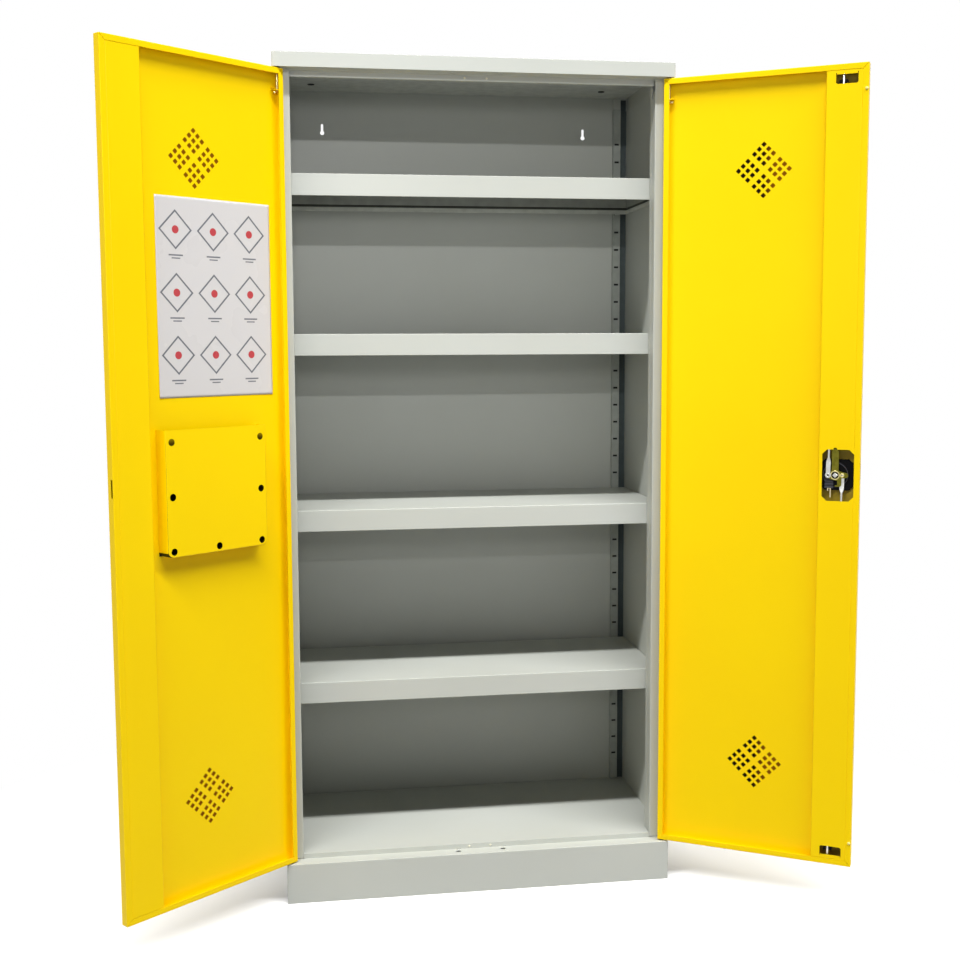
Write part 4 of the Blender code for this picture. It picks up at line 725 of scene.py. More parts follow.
def build_pin(side, name):
    """From 9 mm outside the door's end, along the hinge axis. The upper pin goes round a bend and 10 mm toward the
    free edge. The lower one is a short stub, because the photograph shows no foot there."""
    if name == "upper":
        foot = DOOR_HIGH - PIN_FOOT_DROP
        path = rounded([(PIN_ALONG, PIN_IN, DOOR_HIGH + PIN_OUT), (PIN_ALONG, PIN_IN, foot),
                        (PIN_ALONG + PIN_FOOT, PIN_IN, foot)], 0.0042, 8, closed=False)
    else:
        path = np.linspace((PIN_ALONG, PIN_IN, DOOR_LOW - PIN_OUT), (PIN_ALONG, PIN_IN, DOOR_LOW + PIN_STUB), 6)
    path, radii = domed(np.insert(path, 1, path[0] * 0.97 + path[1] * 0.03, 0), PIN_RADIUS)
    across = hang(side, (0, 1, 0)) - hang(side, (0, 0, 0))
    # Painted reflection: the pin's pale yellow stands in for the yellow door reflected in its steel.
    pin = tube(f"{side}_door_{name}_pin", hang(side, path), radii, pale_chromate_with_painted_reflection, across)
    keep(pin, side + "_door", "galvanised_steel", f"{side}_door_{name}_hinge_pin")


for side in WAY:
    for name in ("upper", "lower"):
        build_pin(side, name)

# %% [markdown]
# ## Stiffeners
# A channel runs up each door's free edge, from the skin to the level of the lips, and its outer flange is joggled
# under the lip. On the right door it is pierced: an eight-sided window shows the lock, and small windows near both
# ends show the rods. The profile of along and depth is carried straight up.

# %% Stiffener channels
STIFF_LOW, STIFF_HIGH = DOOR_LOW + 0.0139, DOOR_HIGH - 0.0139
ROD_WINDOW_END, LOCK_WINDOW_TALL = 0.0225, 0.0585


def rod_window(edge, inward):
    """A window with cut far corners and a slit at each near corner, as the punch leaves it."""
    left, right = 0.388, 0.436
    far, slit = edge + inward * 0.0205, edge - inward * 0.004
    return [(left, slit), (left, far - inward * 0.003), (left + 0.003, far), (right - 0.003, far),
            (right, far - inward * 0.003), (right, slit), (right - 0.0018, slit), (right - 0.0018, edge),
            (left + 0.0018, edge), (left + 0.0018, slit)]


def build_stiffener(side):
    """Skin, wall, face, joggle and tuck as one folded outline, pushed up the door. The lock's window has a round
    notch in the middle of its top."""
    path = [(0.4541, 0.0187), (0.4463, 0.0187), (0.4440, 0.020), (0.3675, 0.020), (0.3675, 0.0013)]
    outline = folded(path, SHEET, [0, 0.0008, 0.0008, 0.0018, 0], 5)
    channel = surface(side + "_door_channel", hang(side, pushed(outline, (STIFF_LOW, STIFF_HIGH))), yellow_coat)
    if side == "right":
        window = octagon((0.4105, LOCK_UP), 0.035, LOCK_WINDOW_TALL, CHAMFER)
        notch = arc((LOCK_ALONG, LOCK_UP + LOCK_WINDOW_TALL), 0.0045, 0, 180, 8)
        window = np.concatenate([window[:3], notch, window[3:]])
        windows = (window, rod_window(DOOR_HIGH - ROD_WINDOW_END, -1), rod_window(DOOR_LOW + ROD_WINDOW_END, 1))
        cut(channel, *[door_prism(side, shape, 0.016, 0.024) for shape in windows])
    keep(channel, side + "_door", "yellow_paint", side + "_door_stiffener")


for side in WAY:
    build_stiffener(side)

# %% [markdown]
# ## Case pieces
# Cap, plinth and shelves are rectangles with folded edges too, so the same rings serve, with the level running up.
# The side panels are folded into a post at the front, and that profile is carried straight up and mitred at its top.

# %% Cap
HIGH, HALF, DEEP = 1.950, 0.460, 0.445
CAP_UNDER = 1.9175
CASE = ((-HALF, 0.0), (HALF, DEEP))
CASE_CORNER = 0.0016
CAP_HOLE_X, CAP_HOLE_Y, CAP_HOLE = 0.369, 0.354, 0.0065


def level_cut(outline, level):
    """A prism through a level sheet, from 5 mm below its upper face to 4 mm above."""
    return pushed(outline, (level - 0.005, level + 0.004))


cap_profile = rounded([(0.05, HIGH - SHEET), (SHEET, HIGH - SHEET), (SHEET, CAP_UNDER), (0, CAP_UNDER), (0, HIGH),
                       (0.05, HIGH)], [0, 0.0008, 0.0002, 0.0002, 0.0018, 0], 5, closed=False)
cap = surface("cap_lid", rectangle_rings(cap_profile, *CASE, CASE_CORNER), grey_coat)
cut(cap, *[level_cut(circle((x, CAP_HOLE_Y), CAP_HOLE), HIGH) for x in (-CAP_HOLE_X, CAP_HOLE_X)])
keep(cap, "carcass", "grey_paint", "top_cap")

# %% Plinth
PLINTH = 0.0945
SLOT_X, SLOT_HALF, SLOT_FRONT, SLOT_REAR, BUSH_BORE = 0.054, 0.0055, 0.0157, 0.0231, 0.00515
plinth_profile = rounded([(0.025, 0), (0, 0), (0, PLINTH), (0.050, PLINTH), (0.050, PLINTH - SHEET),
                          (SHEET, PLINTH - SHEET), (SHEET, SHEET), (0.025, SHEET)],
                         [0.0003, 0.0014, 0.0016, 0.0003, 0.0003, 0.0007, 0.0007, 0.0003], 4)
plinth = surface("plinth_frame", rectangle_rings(plinth_profile, *CASE, CASE_CORNER), grey_coat, loop=True)
slots = [level_cut(rectangle((x - SLOT_HALF, SLOT_FRONT), (x + SLOT_HALF, SLOT_REAR)), PLINTH)
         for x in (-SLOT_X, SLOT_X)]
bores = [level_cut(circle((x, PIN_Y), BUSH_BORE), PLINTH) for x in (-PIN_X, PIN_X)]
cut(plinth, *slots, *bores)
keep(plinth, "carcass", "grey_paint", "plinth")

# %% Shelves
SHELF_TOPS = (1.6968, 1.3304, 0.9182, 0.5060)
SHELF_DROP, HEM = 0.050, 0.0025
SHELF_HALF, SHELF_FRONT, SHELF_REAR = 0.4574, 0.080, 0.4288
for count, top in enumerate(SHELF_TOPS, 1):
    low = top - SHELF_DROP
    shelf_profile = rounded([(0.03, top - SHEET), (SHEET, top - SHEET), (SHEET, low + 0.011), (HEM, low + 0.010),
                             (HEM, low), (0, low), (0, top), (0.03, top)],
                            [0, 0.0008, 0.0004, 0.0004, 0.0009, 0.0009, 0.0016, 0], 4, closed=False)
    rings = rectangle_rings(shelf_profile, (-SHELF_HALF, SHELF_FRONT), (SHELF_HALF, SHELF_REAR), 0.0014)
    keep(surface(f"tray_{count}", rings, grey_coat), "carcass", "grey_paint", f"shelf_{count}")

# %% Side panels
RETURN, RETURN_IN, REAR = 0.4215, 0.034, 0.4437


def build_side(side):
    """Tuck, return, post, side and rear flange as one folded outline pushed up, then the return's mitre is cut."""
    path = [(0.4355, 0.062), (RETURN, 0.062), (RETURN, RETURN_IN), (HALF, RETURN_IN), (HALF, REAR), (0.445, REAR)]
    outline = folded(path, SHEET, [0, 0.0018, 0.0018, 0.0018, 0.0018, 0], 4) * (WAY[side], 1)
    panel = surface(side + "_side_sheet", pushed(outline, (PLINTH + 0.0016, CAP_UNDER - 0.0003)), grey_coat)
    mitre = [(0.035, 1.9212), (0.035, 1.8952), (0.066, 1.8692), (0.066, 1.9212)]
    cut(panel, axes(pushed(mitre, sorted((WAY[side] * 0.4175, WAY[side] * 0.4395))), (2, 0, 1)))
    keep(panel, "carcass", "grey_paint", "side_panel_" + side)


for side in WAY:
    build_side(side)

# %% [markdown]
# ## Document pocket
# A box bent from sheet hangs on the left door, open at the top, with seven round holes in its front. Its outline, with
# two rounded lower corners, is drawn in along a quarter circle at the front edge, which rounds the box's rim. The
# inside and the holes are then cut out of it.

# %% Pocket
POCKET_LEFT, POCKET_RIGHT, POCKET_LOW, POCKET_HIGH = 0.0820, 0.3430, 0.8620, 1.1300
POCKET_BACK, POCKET_FRONT, POCKET_CORNER, POCKET_RIM = 0.0013, 0.0353, 0.014, 0.0022
HOLE_COLUMNS, HOLE_ROWS, POCKET_HOLE = (0.0975, 0.3275), (0.8745, 0.9898, 1.105), 0.0077


def pocket_outline(inset, top):
    """A rectangle with rounded lower corners: arcs whose radius shrinks with the inset, then the two top corners."""
    radius = max(POCKET_CORNER - inset, 0.001)
    turn = np.linspace(math.pi, 1.5 * math.pi, 7)
    left, right, low = POCKET_LEFT + inset + radius, POCKET_RIGHT - inset - radius, POCKET_LOW + inset + radius
    return np.concatenate([[(POCKET_LEFT + inset, top)], around((left, low), radius, turn),
                           around((right, low), radius, turn + math.pi / 2), [(POCKET_RIGHT - inset, top)]])


def pocket_rings(inset_and_depth, top=POCKET_HIGH + 0.004):
    """The outline at each inset, placed at its depth."""
    rows = [pushed(pocket_outline(inset, top), (depth,))[0] for inset, depth in inset_and_depth]
    return hang("left", axes(rows, (0, 2, 1)))


bend = np.linspace(0, math.pi / 2, 6)
rim = [(POCKET_RIM * (1 - math.cos(a)), POCKET_FRONT - POCKET_RIM * (1 - math.sin(a))) for a in bend]
pocket = surface("pocket_box", pocket_rings([(0, POCKET_BACK), *rim], POCKET_HIGH), yellow_coat)
cut(pocket, pocket_rings([(SHEET, POCKET_BACK + SHEET), (SHEET, POCKET_FRONT - POCKET_RIM),
                          (0.0020, POCKET_FRONT - SHEET)]))
spots = [(along, row) for along in HOLE_COLUMNS for row in HOLE_ROWS] + [(sum(HOLE_COLUMNS) / 2, HOLE_ROWS[0])]
cut(pocket, pocket_rings([(0.009, POCKET_BACK - 0.004), (0.009, POCKET_BACK + 0.002)]),
    *[door_prism("left", circle(spot, POCKET_HOLE, 28), POCKET_FRONT - 0.005, POCKET_FRONT + 0.004)
      for spot in spots])
keep(pocket, "left_door", "yellow_paint", "document_pocket")

# %% [markdown]
# ## Notice sheet
# A laminated A3 sheet lies on the left door. It is a grid of points with its own map in metres, so that the print can
# be drawn by the finish. The print here is a plain pattern: nine outlined diamonds with a dot, and short grey bars.

# %% Sheet shape
SHEET_LEFT, SHEET_WIDE, SHEET_LOW, SHEET_TALL = 0.0335, 0.297, 1.1955, 0.420
SHEET_IN, LAMINATE = 0.0016, 0.0003


def build_notice_sheet():
    """Depth is the lying height plus low waves: a product of two sines, and a lift toward the two lower corners."""
    u, v = np.meshgrid(np.linspace(0, 1, 61), np.linspace(0, 1, 81))
    lift = 0.00022 * np.sin(5.1 * u + 1.0) * np.sin(4.3 * v) + 0.0010 * (1 - v) ** 3 * (2 * u - 1) ** 4
    points = np.stack([SHEET_LEFT + u * SHEET_WIDE, SHEET_IN + np.abs(lift), SHEET_LOW + v * SHEET_TALL], -1)
    index = np.arange(u.size).reshape(u.shape)
    quads = np.stack([index[:-1, :-1], index[:-1, 1:], index[1:, 1:], index[1:, :-1]], -1).reshape(-1, 4)
    sheet = put_mesh("wall_sheet", hang("left", points), quads.tolist())
    corner = np.empty(len(sheet.data.loops), int)
    sheet.data.loops.foreach_get("vertex_index", corner)
    places = np.stack([(1 - u.ravel()) * SHEET_WIDE, v.ravel() * SHEET_TALL], 1)[corner]
    sheet.data.uv_layers.new(name="metres").data.foreach_set("uv", places.ravel())
    sheet.data.polygons.foreach_set("use_smooth", np.ones(len(sheet.data.polygons), bool))
    thick = sheet.modifiers.new("laminate", "SOLIDIFY")
    thick.thickness, thick.offset = LAMINATE, 0.0
    return sheet


# %% Print on the sheet
CELL_FIRST, CELL_PITCH = (0.0492, 0.0893), (0.0956, 0.1310)


def build_print_finish():
    """The map is cut into cells. In a cell, the sum of the distances across and up from its middle is constant on a
    diamond, so a band of that sum is an outline, the plain distance gives the dot, and two boxes give the bars."""
    material, tree, shader = start_material("laminated_print")
    parts = node(tree, "ShaderNodeSeparateXYZ", in_0=node(tree, "ShaderNodeUVMap", uv_map="metres").outputs[0])

    def cell(value, first, pitch):
        """Distance from the nearest of three middles."""
        shifted = arithmetic(tree, "SUBTRACT", value, first)
        number = arithmetic(tree, "ROUND", arithmetic(tree, "DIVIDE", shifted, pitch))
        number = arithmetic(tree, "MINIMUM", arithmetic(tree, "MAXIMUM", number, 0.0), 2.0)
        return arithmetic(tree, "SUBTRACT", shifted, times(tree, number, pitch))

    def below(value, start, end):
        """One up to the start and zero from the end on."""
        return span(tree, value, start, end, 1.0, 0.0)

    def band(value, low, high, soft=0.0004):
        """One between low and high, with soft edges."""
        return times(tree, span(tree, value, low - soft, low + soft), below(value, high - soft, high + soft))

    across, above = (cell(parts.outputs[key], first, pitch) for key, first, pitch in zip("XY", CELL_FIRST, CELL_PITCH))
    wide, tall = (arithmetic(tree, "ABSOLUTE", value) for value in (across, above))
    outline = band(arithmetic(tree, "ADD", wide, tall), 0.0365, 0.0415)
    reach = arithmetic(tree, "SQRT", arithmetic(tree, "ADD", times(tree, wide, wide), times(tree, tall, tall)))
    bars = times(tree, band(above, -0.0545, -0.0515), below(wide, 0.0175, 0.0180))
    short_bars = times(tree, band(above, -0.0605, -0.0580), below(wide, 0.0105, 0.0110))
    place = object_place(tree)
    clouds, ink = noise(tree, place, 7.0), noise(tree, place, 900.0, 2.0)
    base = mix(tree, clouds, linear(208, 206, 207), linear(211, 209, 210))
    red = mix(tree, ink, linear(196, 74, 80), linear(178, 58, 66))
    grey = mix(tree, ink, linear(118, 121, 128), linear(98, 101, 110))
    base = mix(tree, below(reach, 0.0080, 0.0088), mix(tree, outline, base, grey), red)
    base = mix(tree, arithmetic(tree, "MAXIMUM", bars, short_bars), base, grey)
    fill(tree, shader, {"Base Color": base, "Specular IOR Level": 0.3,
                        "Roughness": span(tree, clouds, 0.3, 0.7, 0.20, 0.32)})
    bump(tree, shader, clouds, 0.15, 0.002)
    return material


wall_sheet = build_notice_sheet()
wall_sheet.data.materials.append(build_print_finish())
keep(wall_sheet, "left_door", "laminated_paper", "notice_sheet")

# %% [markdown]
# ## Lock behind the window
# The handle's square spindle turns a stamped cam. Its long arm swings into the other door's edge, and its ears pull
# two rods. The cam is an outline pushed through its thickness, with a raised ring round the hub, and its edges are
# softened because stamping rolls them.

# %% Cam
EAR, EAR_RADIUS, ARM, ARM_RADIUS = 0.0155, 0.0065, 0.052, 0.0075
CAM_DEPTH, LOCK_CUT = (0.0136, 0.0156), (0.010, 0.020)


def build_cam():
    """Arm up with a round end, an ear each side with a round end, and a hooked tail below."""
    neck = math.sqrt(0.0125 ** 2 - ARM_RADIUS ** 2)
    outline = np.concatenate([
        arc((0, ARM), ARM_RADIUS, 0, 180, 12), [(-ARM_RADIUS, neck)], [(-EAR, EAR_RADIUS)],
        arc((-EAR, 0), EAR_RADIUS, 100, 260, 10), [(-EAR, -EAR_RADIUS)], [(-ARM_RADIUS, -neck), (0.005, -0.0125)],
        [(0.005, -0.023), (0.0, -0.023), (0.0, -0.026), (0.011, -0.026), (0.014, -0.023), (0.014, -EAR_RADIUS)],
        [(0.0190, -EAR_RADIUS)], arc((0.0230, 0), 0.0058, -70, 70, 10), [(0.0190, EAR_RADIUS)], [(ARM_RADIUS, neck)]])
    cam = surface("cam_plate", door_prism("right", outline + LOCK, *CAM_DEPTH), chromate)
    cut(cam, door_prism("right", circle(LOCK, 0.0091 * ROOT_HALF, 4), *LOCK_CUT),
        *[door_prism("right", circle((LOCK_ALONG + x, LOCK_UP), 0.0020, 20), *LOCK_CUT) for x in (-EAR, EAR)])
    keep(soften(cam, 0.0003), "handle", "chromate_steel", "lock_cam")


build_cam()


# %% Collar, washer and spindle
def ring_about(name, middle, corners, reach, steps, finish, sides=28):
    """A profile of radius and depth with rounded corners, turned about an axis through the door."""
    radius, depth = rounded(corners, reach, steps).T
    turn = full_turn(sides)
    along = middle[0] + radius[None] * np.cos(turn)[:, None]
    height = middle[1] + radius[None] * np.sin(turn)[:, None]
    grid = np.stack([along, np.broadcast_to(depth, along.shape), height], -1)
    return surface(name, hang("right", grid), finish, loop=True, smooth=40)


collar = ring_about("hub_collar", LOCK, rectangle((0.0083, 0.0156), (0.0104, 0.0166)), 0.0003, 3, pale_chromate_with_painted_reflection)
keep(collar, "handle", "chromate_steel")
washer = ring_about("hub_washer", LOCK, rectangle((0.0050, 0.0157), (0.0082, 0.0161)), 0.0001, 2, black_plastic)
keep(washer, "handle", "black_plastic")
bar = surface("spindle_bar", door_prism("right", circle(LOCK, 0.0085 * ROOT_HALF, 4), 0.0058, 0.0168), zinc)
keep(soften(bar, 0.0006, 3), "handle", "galvanised_steel", "handle_spindle")

# %% [markdown]
# The rods are round bars whose lock ends are pressed flat into eyes. A rod is a grid again: a ring at each station
# along it, with a half width and a half thickness that change smoothly from the eye to the flat and to the round.

# %% Rods
EYE_RADIUS, FLAT_WIDE, ROD_RADIUS, FLAT_THICK, ROD_TIP = 0.0066, 0.0050, 0.003, 0.0008, 0.0022
FLAT_ENDS, ROUND_STARTS = 0.030, 0.042


def smooth_step(value, low, high):
    """Rises from 0 to 1 between low and high, as 3t^2 - 2t^3."""
    t = np.clip((value - low) / (high - low), 0, 1)
    return t * t * (3 - 2 * t)


def build_rod(name, way):
    """Half width: a circle of 6.6 mm at the eye, easing to 5.0 mm, then to the 3 mm of the round bar. Half
    thickness: 0.8 mm at the eye, easing to 3 mm. The ring is a rounded square there and a circle on the bar."""
    foot = np.array([LOCK_ALONG - way * EAR, LOCK_UP])
    tip = np.array([ROD_ALONG, DOOR_HIGH - 0.002 if way > 0 else DOOR_LOW + 0.002])
    length = np.linalg.norm(tip - foot)
    run = (tip - foot) / length
    eye = np.linspace(-0.0065, 0.0045, 17)
    place = np.concatenate([eye, np.linspace(0.0075, 0.046, 24), [length * 0.5, length - 0.0012, length]])
    to_round = smooth_step(place, FLAT_ENDS, ROUND_STARTS)
    wide = FLAT_WIDE + (ROD_RADIUS - FLAT_WIDE) * to_round
    bow = np.sqrt(np.maximum(EYE_RADIUS ** 2 - eye ** 2, 1e-8))
    wide[:17] = np.maximum(bow, np.where(eye > 0, FLAT_WIDE, 0))
    thick = FLAT_THICK + (ROD_RADIUS - FLAT_THICK) * to_round
    wide[-1] = thick[-1] = ROD_TIP
    start = 0.0168 if way > 0 else 0.0124
    level = start + (ROD_IN - start) * smooth_step(place, 0.014, ROUND_STARTS)
    turn = full_turn(24)

    def swollen(wave, half):
        """A cosine or sine drawn out toward a square's, times a half size."""
        return np.sign(wave) * np.abs(wave) ** (0.45 + 0.55 * to_round)[:, None] * half[:, None]

    across = swollen(np.cos(turn), wide)
    along = foot[0] + run[0] * place[:, None] + run[1] * across
    height = foot[1] + run[1] * place[:, None] - run[0] * across
    grid = np.stack([along, level[:, None] + swollen(np.sin(turn), thick), height], -1)
    rod = surface(name + "_bar", hang("right", grid), zinc, smooth=40)
    cut(rod, door_prism("right", circle(foot, 0.0021, 20), 0.012, 0.022))
    keep(rod, name, "galvanised_steel", name)
    reach = 0.0040 if way > 0 else 0.0050
    rivet = np.array([(0.0019, 0.0), (reach, 0.0), (reach - 0.0003, 0.0009), (0.0024, 0.0012)])
    rivet += (0, start + 0.0007 if way > 0 else 0.0157)
    head = ring_about(name + "_rivet", foot, rivet, 0.0005, 3, zinc if way > 0 else pale_chromate_with_painted_reflection, 24)
    keep(head, name, "galvanised_steel")


build_rod("upper_rod", 1)
build_rod("lower_rod", -1)

# %% [markdown]
# A ribbed black block houses the key lock, and a thin bolt with a hooked end hangs below it. Both are outlines pushed
# straight: the block's ribs are drawn in depth and height, the bolt in along and height.

# %% Lock block and bolt
BLOCK_ALONG, BLOCK_UP = 0.3905, 0.989
BLOCK = (BLOCK_ALONG, BLOCK_UP)
BLOCK_START, BLOCK_HALF, BLOCK_HALF_WIDE = 0.0083, 0.012, 0.0095


def build_block():
    """Ribs and grooves take turns up the face. The lower half is cut away where the bolt swings."""
    rib = 2 * BLOCK_HALF / 7
    face, groove = BLOCK_START + 0.0046, BLOCK_START + 0.0034
    outline = [(BLOCK_START, BLOCK_UP + BLOCK_HALF), (BLOCK_START, BLOCK_UP - BLOCK_HALF)]
    for count in range(7):
        depth, low = groove if count % 2 else face, BLOCK_UP - BLOCK_HALF + count * rib
        outline += [(depth, low), (depth, low + rib)]
    block = surface("ribbed_block", along_prism("right", rounded(outline, 0.0004, 3), BLOCK_ALONG - BLOCK_HALF_WIDE,
                                                BLOCK_ALONG + BLOCK_HALF_WIDE), dark_grey_plastic)
    room = rectangle((BLOCK_ALONG - 0.0062, 0.973), (BLOCK_ALONG + 0.0135, 0.9952))
    cut(block, door_prism("right", room, 0.0043, 0.0112))
    keep(soften(block, 0.0003), "right_door", "black_plastic", "lock_block")


def build_bolt():
    """A round hub, a bar with a short hook on one side and a long leg on the other."""
    outline = np.concatenate([arc((0, 0), 0.0052, -36, 216, 16), [
        (-0.0042, -0.0185), (-0.0016, -0.0185), (-0.0016, -0.0130), (0.0016, -0.0130), (0.0016, -0.0335),
        (0.0042, -0.0335)]])
    bolt = surface("hook_bolt", door_prism("right", rounded(outline, 0.0006, 2) + BLOCK, 0.0086, 0.0106), brass)
    keep(soften(bolt, 0.0003), "key", "brass", "lock_bolt")


build_block()
build_bolt()

# %% [markdown]
# ## Handle on the outer face
# Outside, the lock is a black dish set in the skin with a short turning grip, a key plug and a key. The photograph
# doesn't show this side, so it follows the usual form: the dish is rings between eight-sided outlines that step in
# and down, and the grip is a flat bar whose rings swell and round off.

# %% Dish
PLUG_BORE, HUB_BORE = 0.0054, 0.0066


def build_dish():
    """Rings from the skin's inside out to the rim, round its edge, and back down the recess to its floor. A round boss
    and a bead lie on the floor's inner side, and the plug and the grip pass through."""
    def rim(half_wide, half_tall, depth):
        """The dish's rounded outline at a depth."""
        return pushed(rounded(octagon((DISH_ALONG, LOCK_UP), half_wide, half_tall, CHAMFER), 0.002, 4), (depth,))[0]

    steps = [(0.0345, 0.0330, 0.0035), (0.0345, 0.0330, -0.0012), (0.0355, 0.0340, -0.0024), (0.0397, 0.0382, -0.0025),
             (0.0405, 0.0390, -0.0018), (0.0405, 0.0390, -0.0003), (0.0365, 0.0350, -0.0003), (0.0365, 0.0350, 0.0050),
             (0.0360, 0.0345, 0.0055)]
    dish = surface("dish_shell", hang("right", axes([rim(*step) for step in steps], (0, 2, 1))), black_plastic)
    boss = ring_about("dish_boss", LOCK, [(0.0068, 0.0056), (0.0315, 0.0056), (0.0310, 0.0072), (0.0290, 0.0080),
                                          (0.0068, 0.0080)], 0.0006, 4, black_plastic, 48)
    bead = ring_about("dish_bead", LOCK, [(0.0262, 0.0079), (0.0285, 0.0079), (0.0280, 0.0088), (0.0267, 0.0088)],
                      0.0004, 3, dark_grey_plastic, 48)
    for spot, radius in ((LOCK, HUB_BORE), (BLOCK, PLUG_BORE)):
        cut(dish, door_prism("right", circle(spot, radius, 28), -0.004, 0.012))
    cut(boss, door_prism("right", circle(BLOCK, PLUG_BORE, 28), 0.002, 0.012))
    keep(dish, "right_door", "black_plastic", "handle_dish")
    keep(boss, "right_door", "black_plastic")
    keep(bead, "right_door", "black_plastic")


build_dish()

# %% Grip and its stub
GRIP_RUN, GRIP_HALF = 0.0215, 0.0075


def build_grip():
    """Rings across the bar: half length and half width shrink as a quarter circle toward the outer face."""
    depths = (-0.0030, -0.0034, -0.0090, -0.0104, -0.0114, -0.0119, -0.0120)
    insets = (0.0006, 0.0, 0.0002, 0.0009, 0.0021, 0.0040, 0.0055)
    rings = [pushed(np.concatenate([arc((GRIP_RUN, 0), GRIP_HALF - inset, -90, 90, 12),
                                    arc((-GRIP_RUN, 0), GRIP_HALF - inset, 90, 270, 12)]) + LOCK, (depth,))[0]
             for inset, depth in zip(insets, depths)]
    grip = surface("turning_grip", hang("right", axes(rings, (0, 2, 1))), black_plastic, smooth=50)
    stub = surface("grip_stub", door_prism("right", circle(LOCK, 0.0061, 28), -0.0035, 0.0055), black_plastic,
                   smooth=50)
    keep(grip, "handle", "black_plastic", "handle_grip")
    keep(stub, "handle", "black_plastic")


build_grip()


# %% Key and plug
def build_key():
    """The plug is a short cylinder. The key is a flat plate: a round bow with a hole, and a stem that narrows."""
    corners = [(0.0002, -0.0012), (0.0048, -0.0012), (0.0050, -0.0006), (0.0050, 0.0083), (0.0002, 0.0083)]
    keep(ring_about("key_plug", BLOCK, corners, 0.0002, 2, zinc), "key", "galvanised_steel", "lock_plug")
    bow = np.concatenate([arc((-0.0215, 0), 0.010, 18, 342, 28), [(-0.0015, -0.003), (-0.0015, 0.003)]])
    key = surface("flat_key", along_prism("right", bow + (0, BLOCK_UP), BLOCK_ALONG - 0.001, BLOCK_ALONG + 0.001), zinc)
    hole = circle((-0.0248, BLOCK_UP), 0.0030, 20)
    cut(key, along_prism("right", hole, BLOCK_ALONG - 0.004, BLOCK_ALONG + 0.004))
    keep(soften(key, 0.0004), "key", "galvanised_steel", "key")


build_key()

# %% [markdown]
# ## Buffers
# Small domes stop the doors from ringing: two pale ones on the right door's lip, four tiny ones on the case and one
# dark button outside the left door. A dome is a quarter circle of radius and rise, turned about its axis.

# %% Domes
DOT_X, DOT_RADIUS, DOT_RISE = 0.0255, 0.0026, 0.0012


def dome_points(radius, rise):
    """Radius times cosine and rise times sine of a quarter turn, after a short straight foot."""
    turn = np.linspace(0, 1.45, 6)
    reach = np.concatenate([[radius], radius * np.cos(turn)])
    level = np.concatenate([[0.0], rise * (0.35 + 0.65 * np.sin(turn))])
    first, second = (reach[:, None] * wave(full_turn(24)) for wave in (np.cos, np.sin))
    return first, second, np.broadcast_to(level[:, None], first.shape)


def door_dome(name, side, middle, radius, rise, finish, slot, replaced):
    """A dome on a door, about a middle of along, in and up. A rise below zero points outward."""
    first, second, level = dome_points(radius, rise)
    grid = np.stack([middle[0] + first, middle[1] + level, middle[2] + second], -1)
    keep(surface(name, hang(side, grid), finish, smooth=45), side + "_door", slot, replaced)


for name, height in (("upper", 1.8585), ("lower", 0.154)):
    door_dome(f"{name}_stop", "right", (0.454, 0.0203, height), 0.0034, 0.0028, cream_plastic, "pale_plastic",
              f"right_door_{name}_buffer")
door_dome("edge_button", "left", (0.454, -0.0003, 1.8435), 0.0030, -0.0035, rubber, "rubber", "left_door_button")
for name, y, z in (("header", 0.045, 1.91125), ("floor", 0.034, 0.10015)):
    for side in WAY:
        first, second, level = dome_points(DOT_RADIUS, DOT_RISE)
        grid = np.stack([WAY[side] * DOT_X + first, y - 0.0003 - level, z + second], -1)
        piece = surface(f"{name}_dot_{side}", grid, pale_plastic, smooth=45)
        keep(piece, "carcass", "pale_plastic", f"buffer_{name}_{side}")

# %% [markdown]
# ## Painted shade and light on the coats
# Inside a closed channel or a pocket the yellow coat is painted a darker, brownish colour as painted shade, and in the
# gaps beside and behind the slotted uprights the grey is painted darker as shade too. Each yellow piece carries its own
# measure of along, depth and up as an attribute, so one finish can find the channel and the pocket, and paint shade
# there. On the grey case the place alone finds the folds, the shelves' hems and the cap's underside, where painted
# shade and painted light go.


# %% Door measure as an attribute
def unhang(side, points):
    """The way back from places to along, in and up: move to the pin, turn back and mirror."""
    x, y = points[:, 0] - WAY[side] * PIN_X, points[:, 1] - PIN_Y
    cos, sin = math.cos(-OPEN[side]), math.sin(-OPEN[side])
    return np.stack([PIN_ALONG - WAY[side] * (x * cos - y * sin), PIN_IN + x * sin + y * cos, points[:, 2]], 1)


def dress(name, coat, side=None):
    """Gives a piece its coat. On a door's piece, the door's measure at each point is stored for it."""
    mesh = bpy.data.objects[name].data
    if side:
        measure = mesh.attributes.new("door_measure", "FLOAT_VECTOR", "POINT")
        measure.data.foreach_set("vector", unhang(side, mesh_points(mesh)).ravel())
    mesh.materials[0] = coat


# %% Coats with painted shade and light by place
def box_mask(tree, parts, box):
    """One inside a box of three spans and zero outside, each side fading over its own softness."""
    share = None
    for axis, (low, high, soft) in zip("XYZ", box):
        value = parts.outputs[axis]
        side = times(tree, span(tree, value, low, low + soft), span(tree, value, high - soft, high, 1.0, 0.0))
        share = side if share is None else times(tree, share, side)
    return share


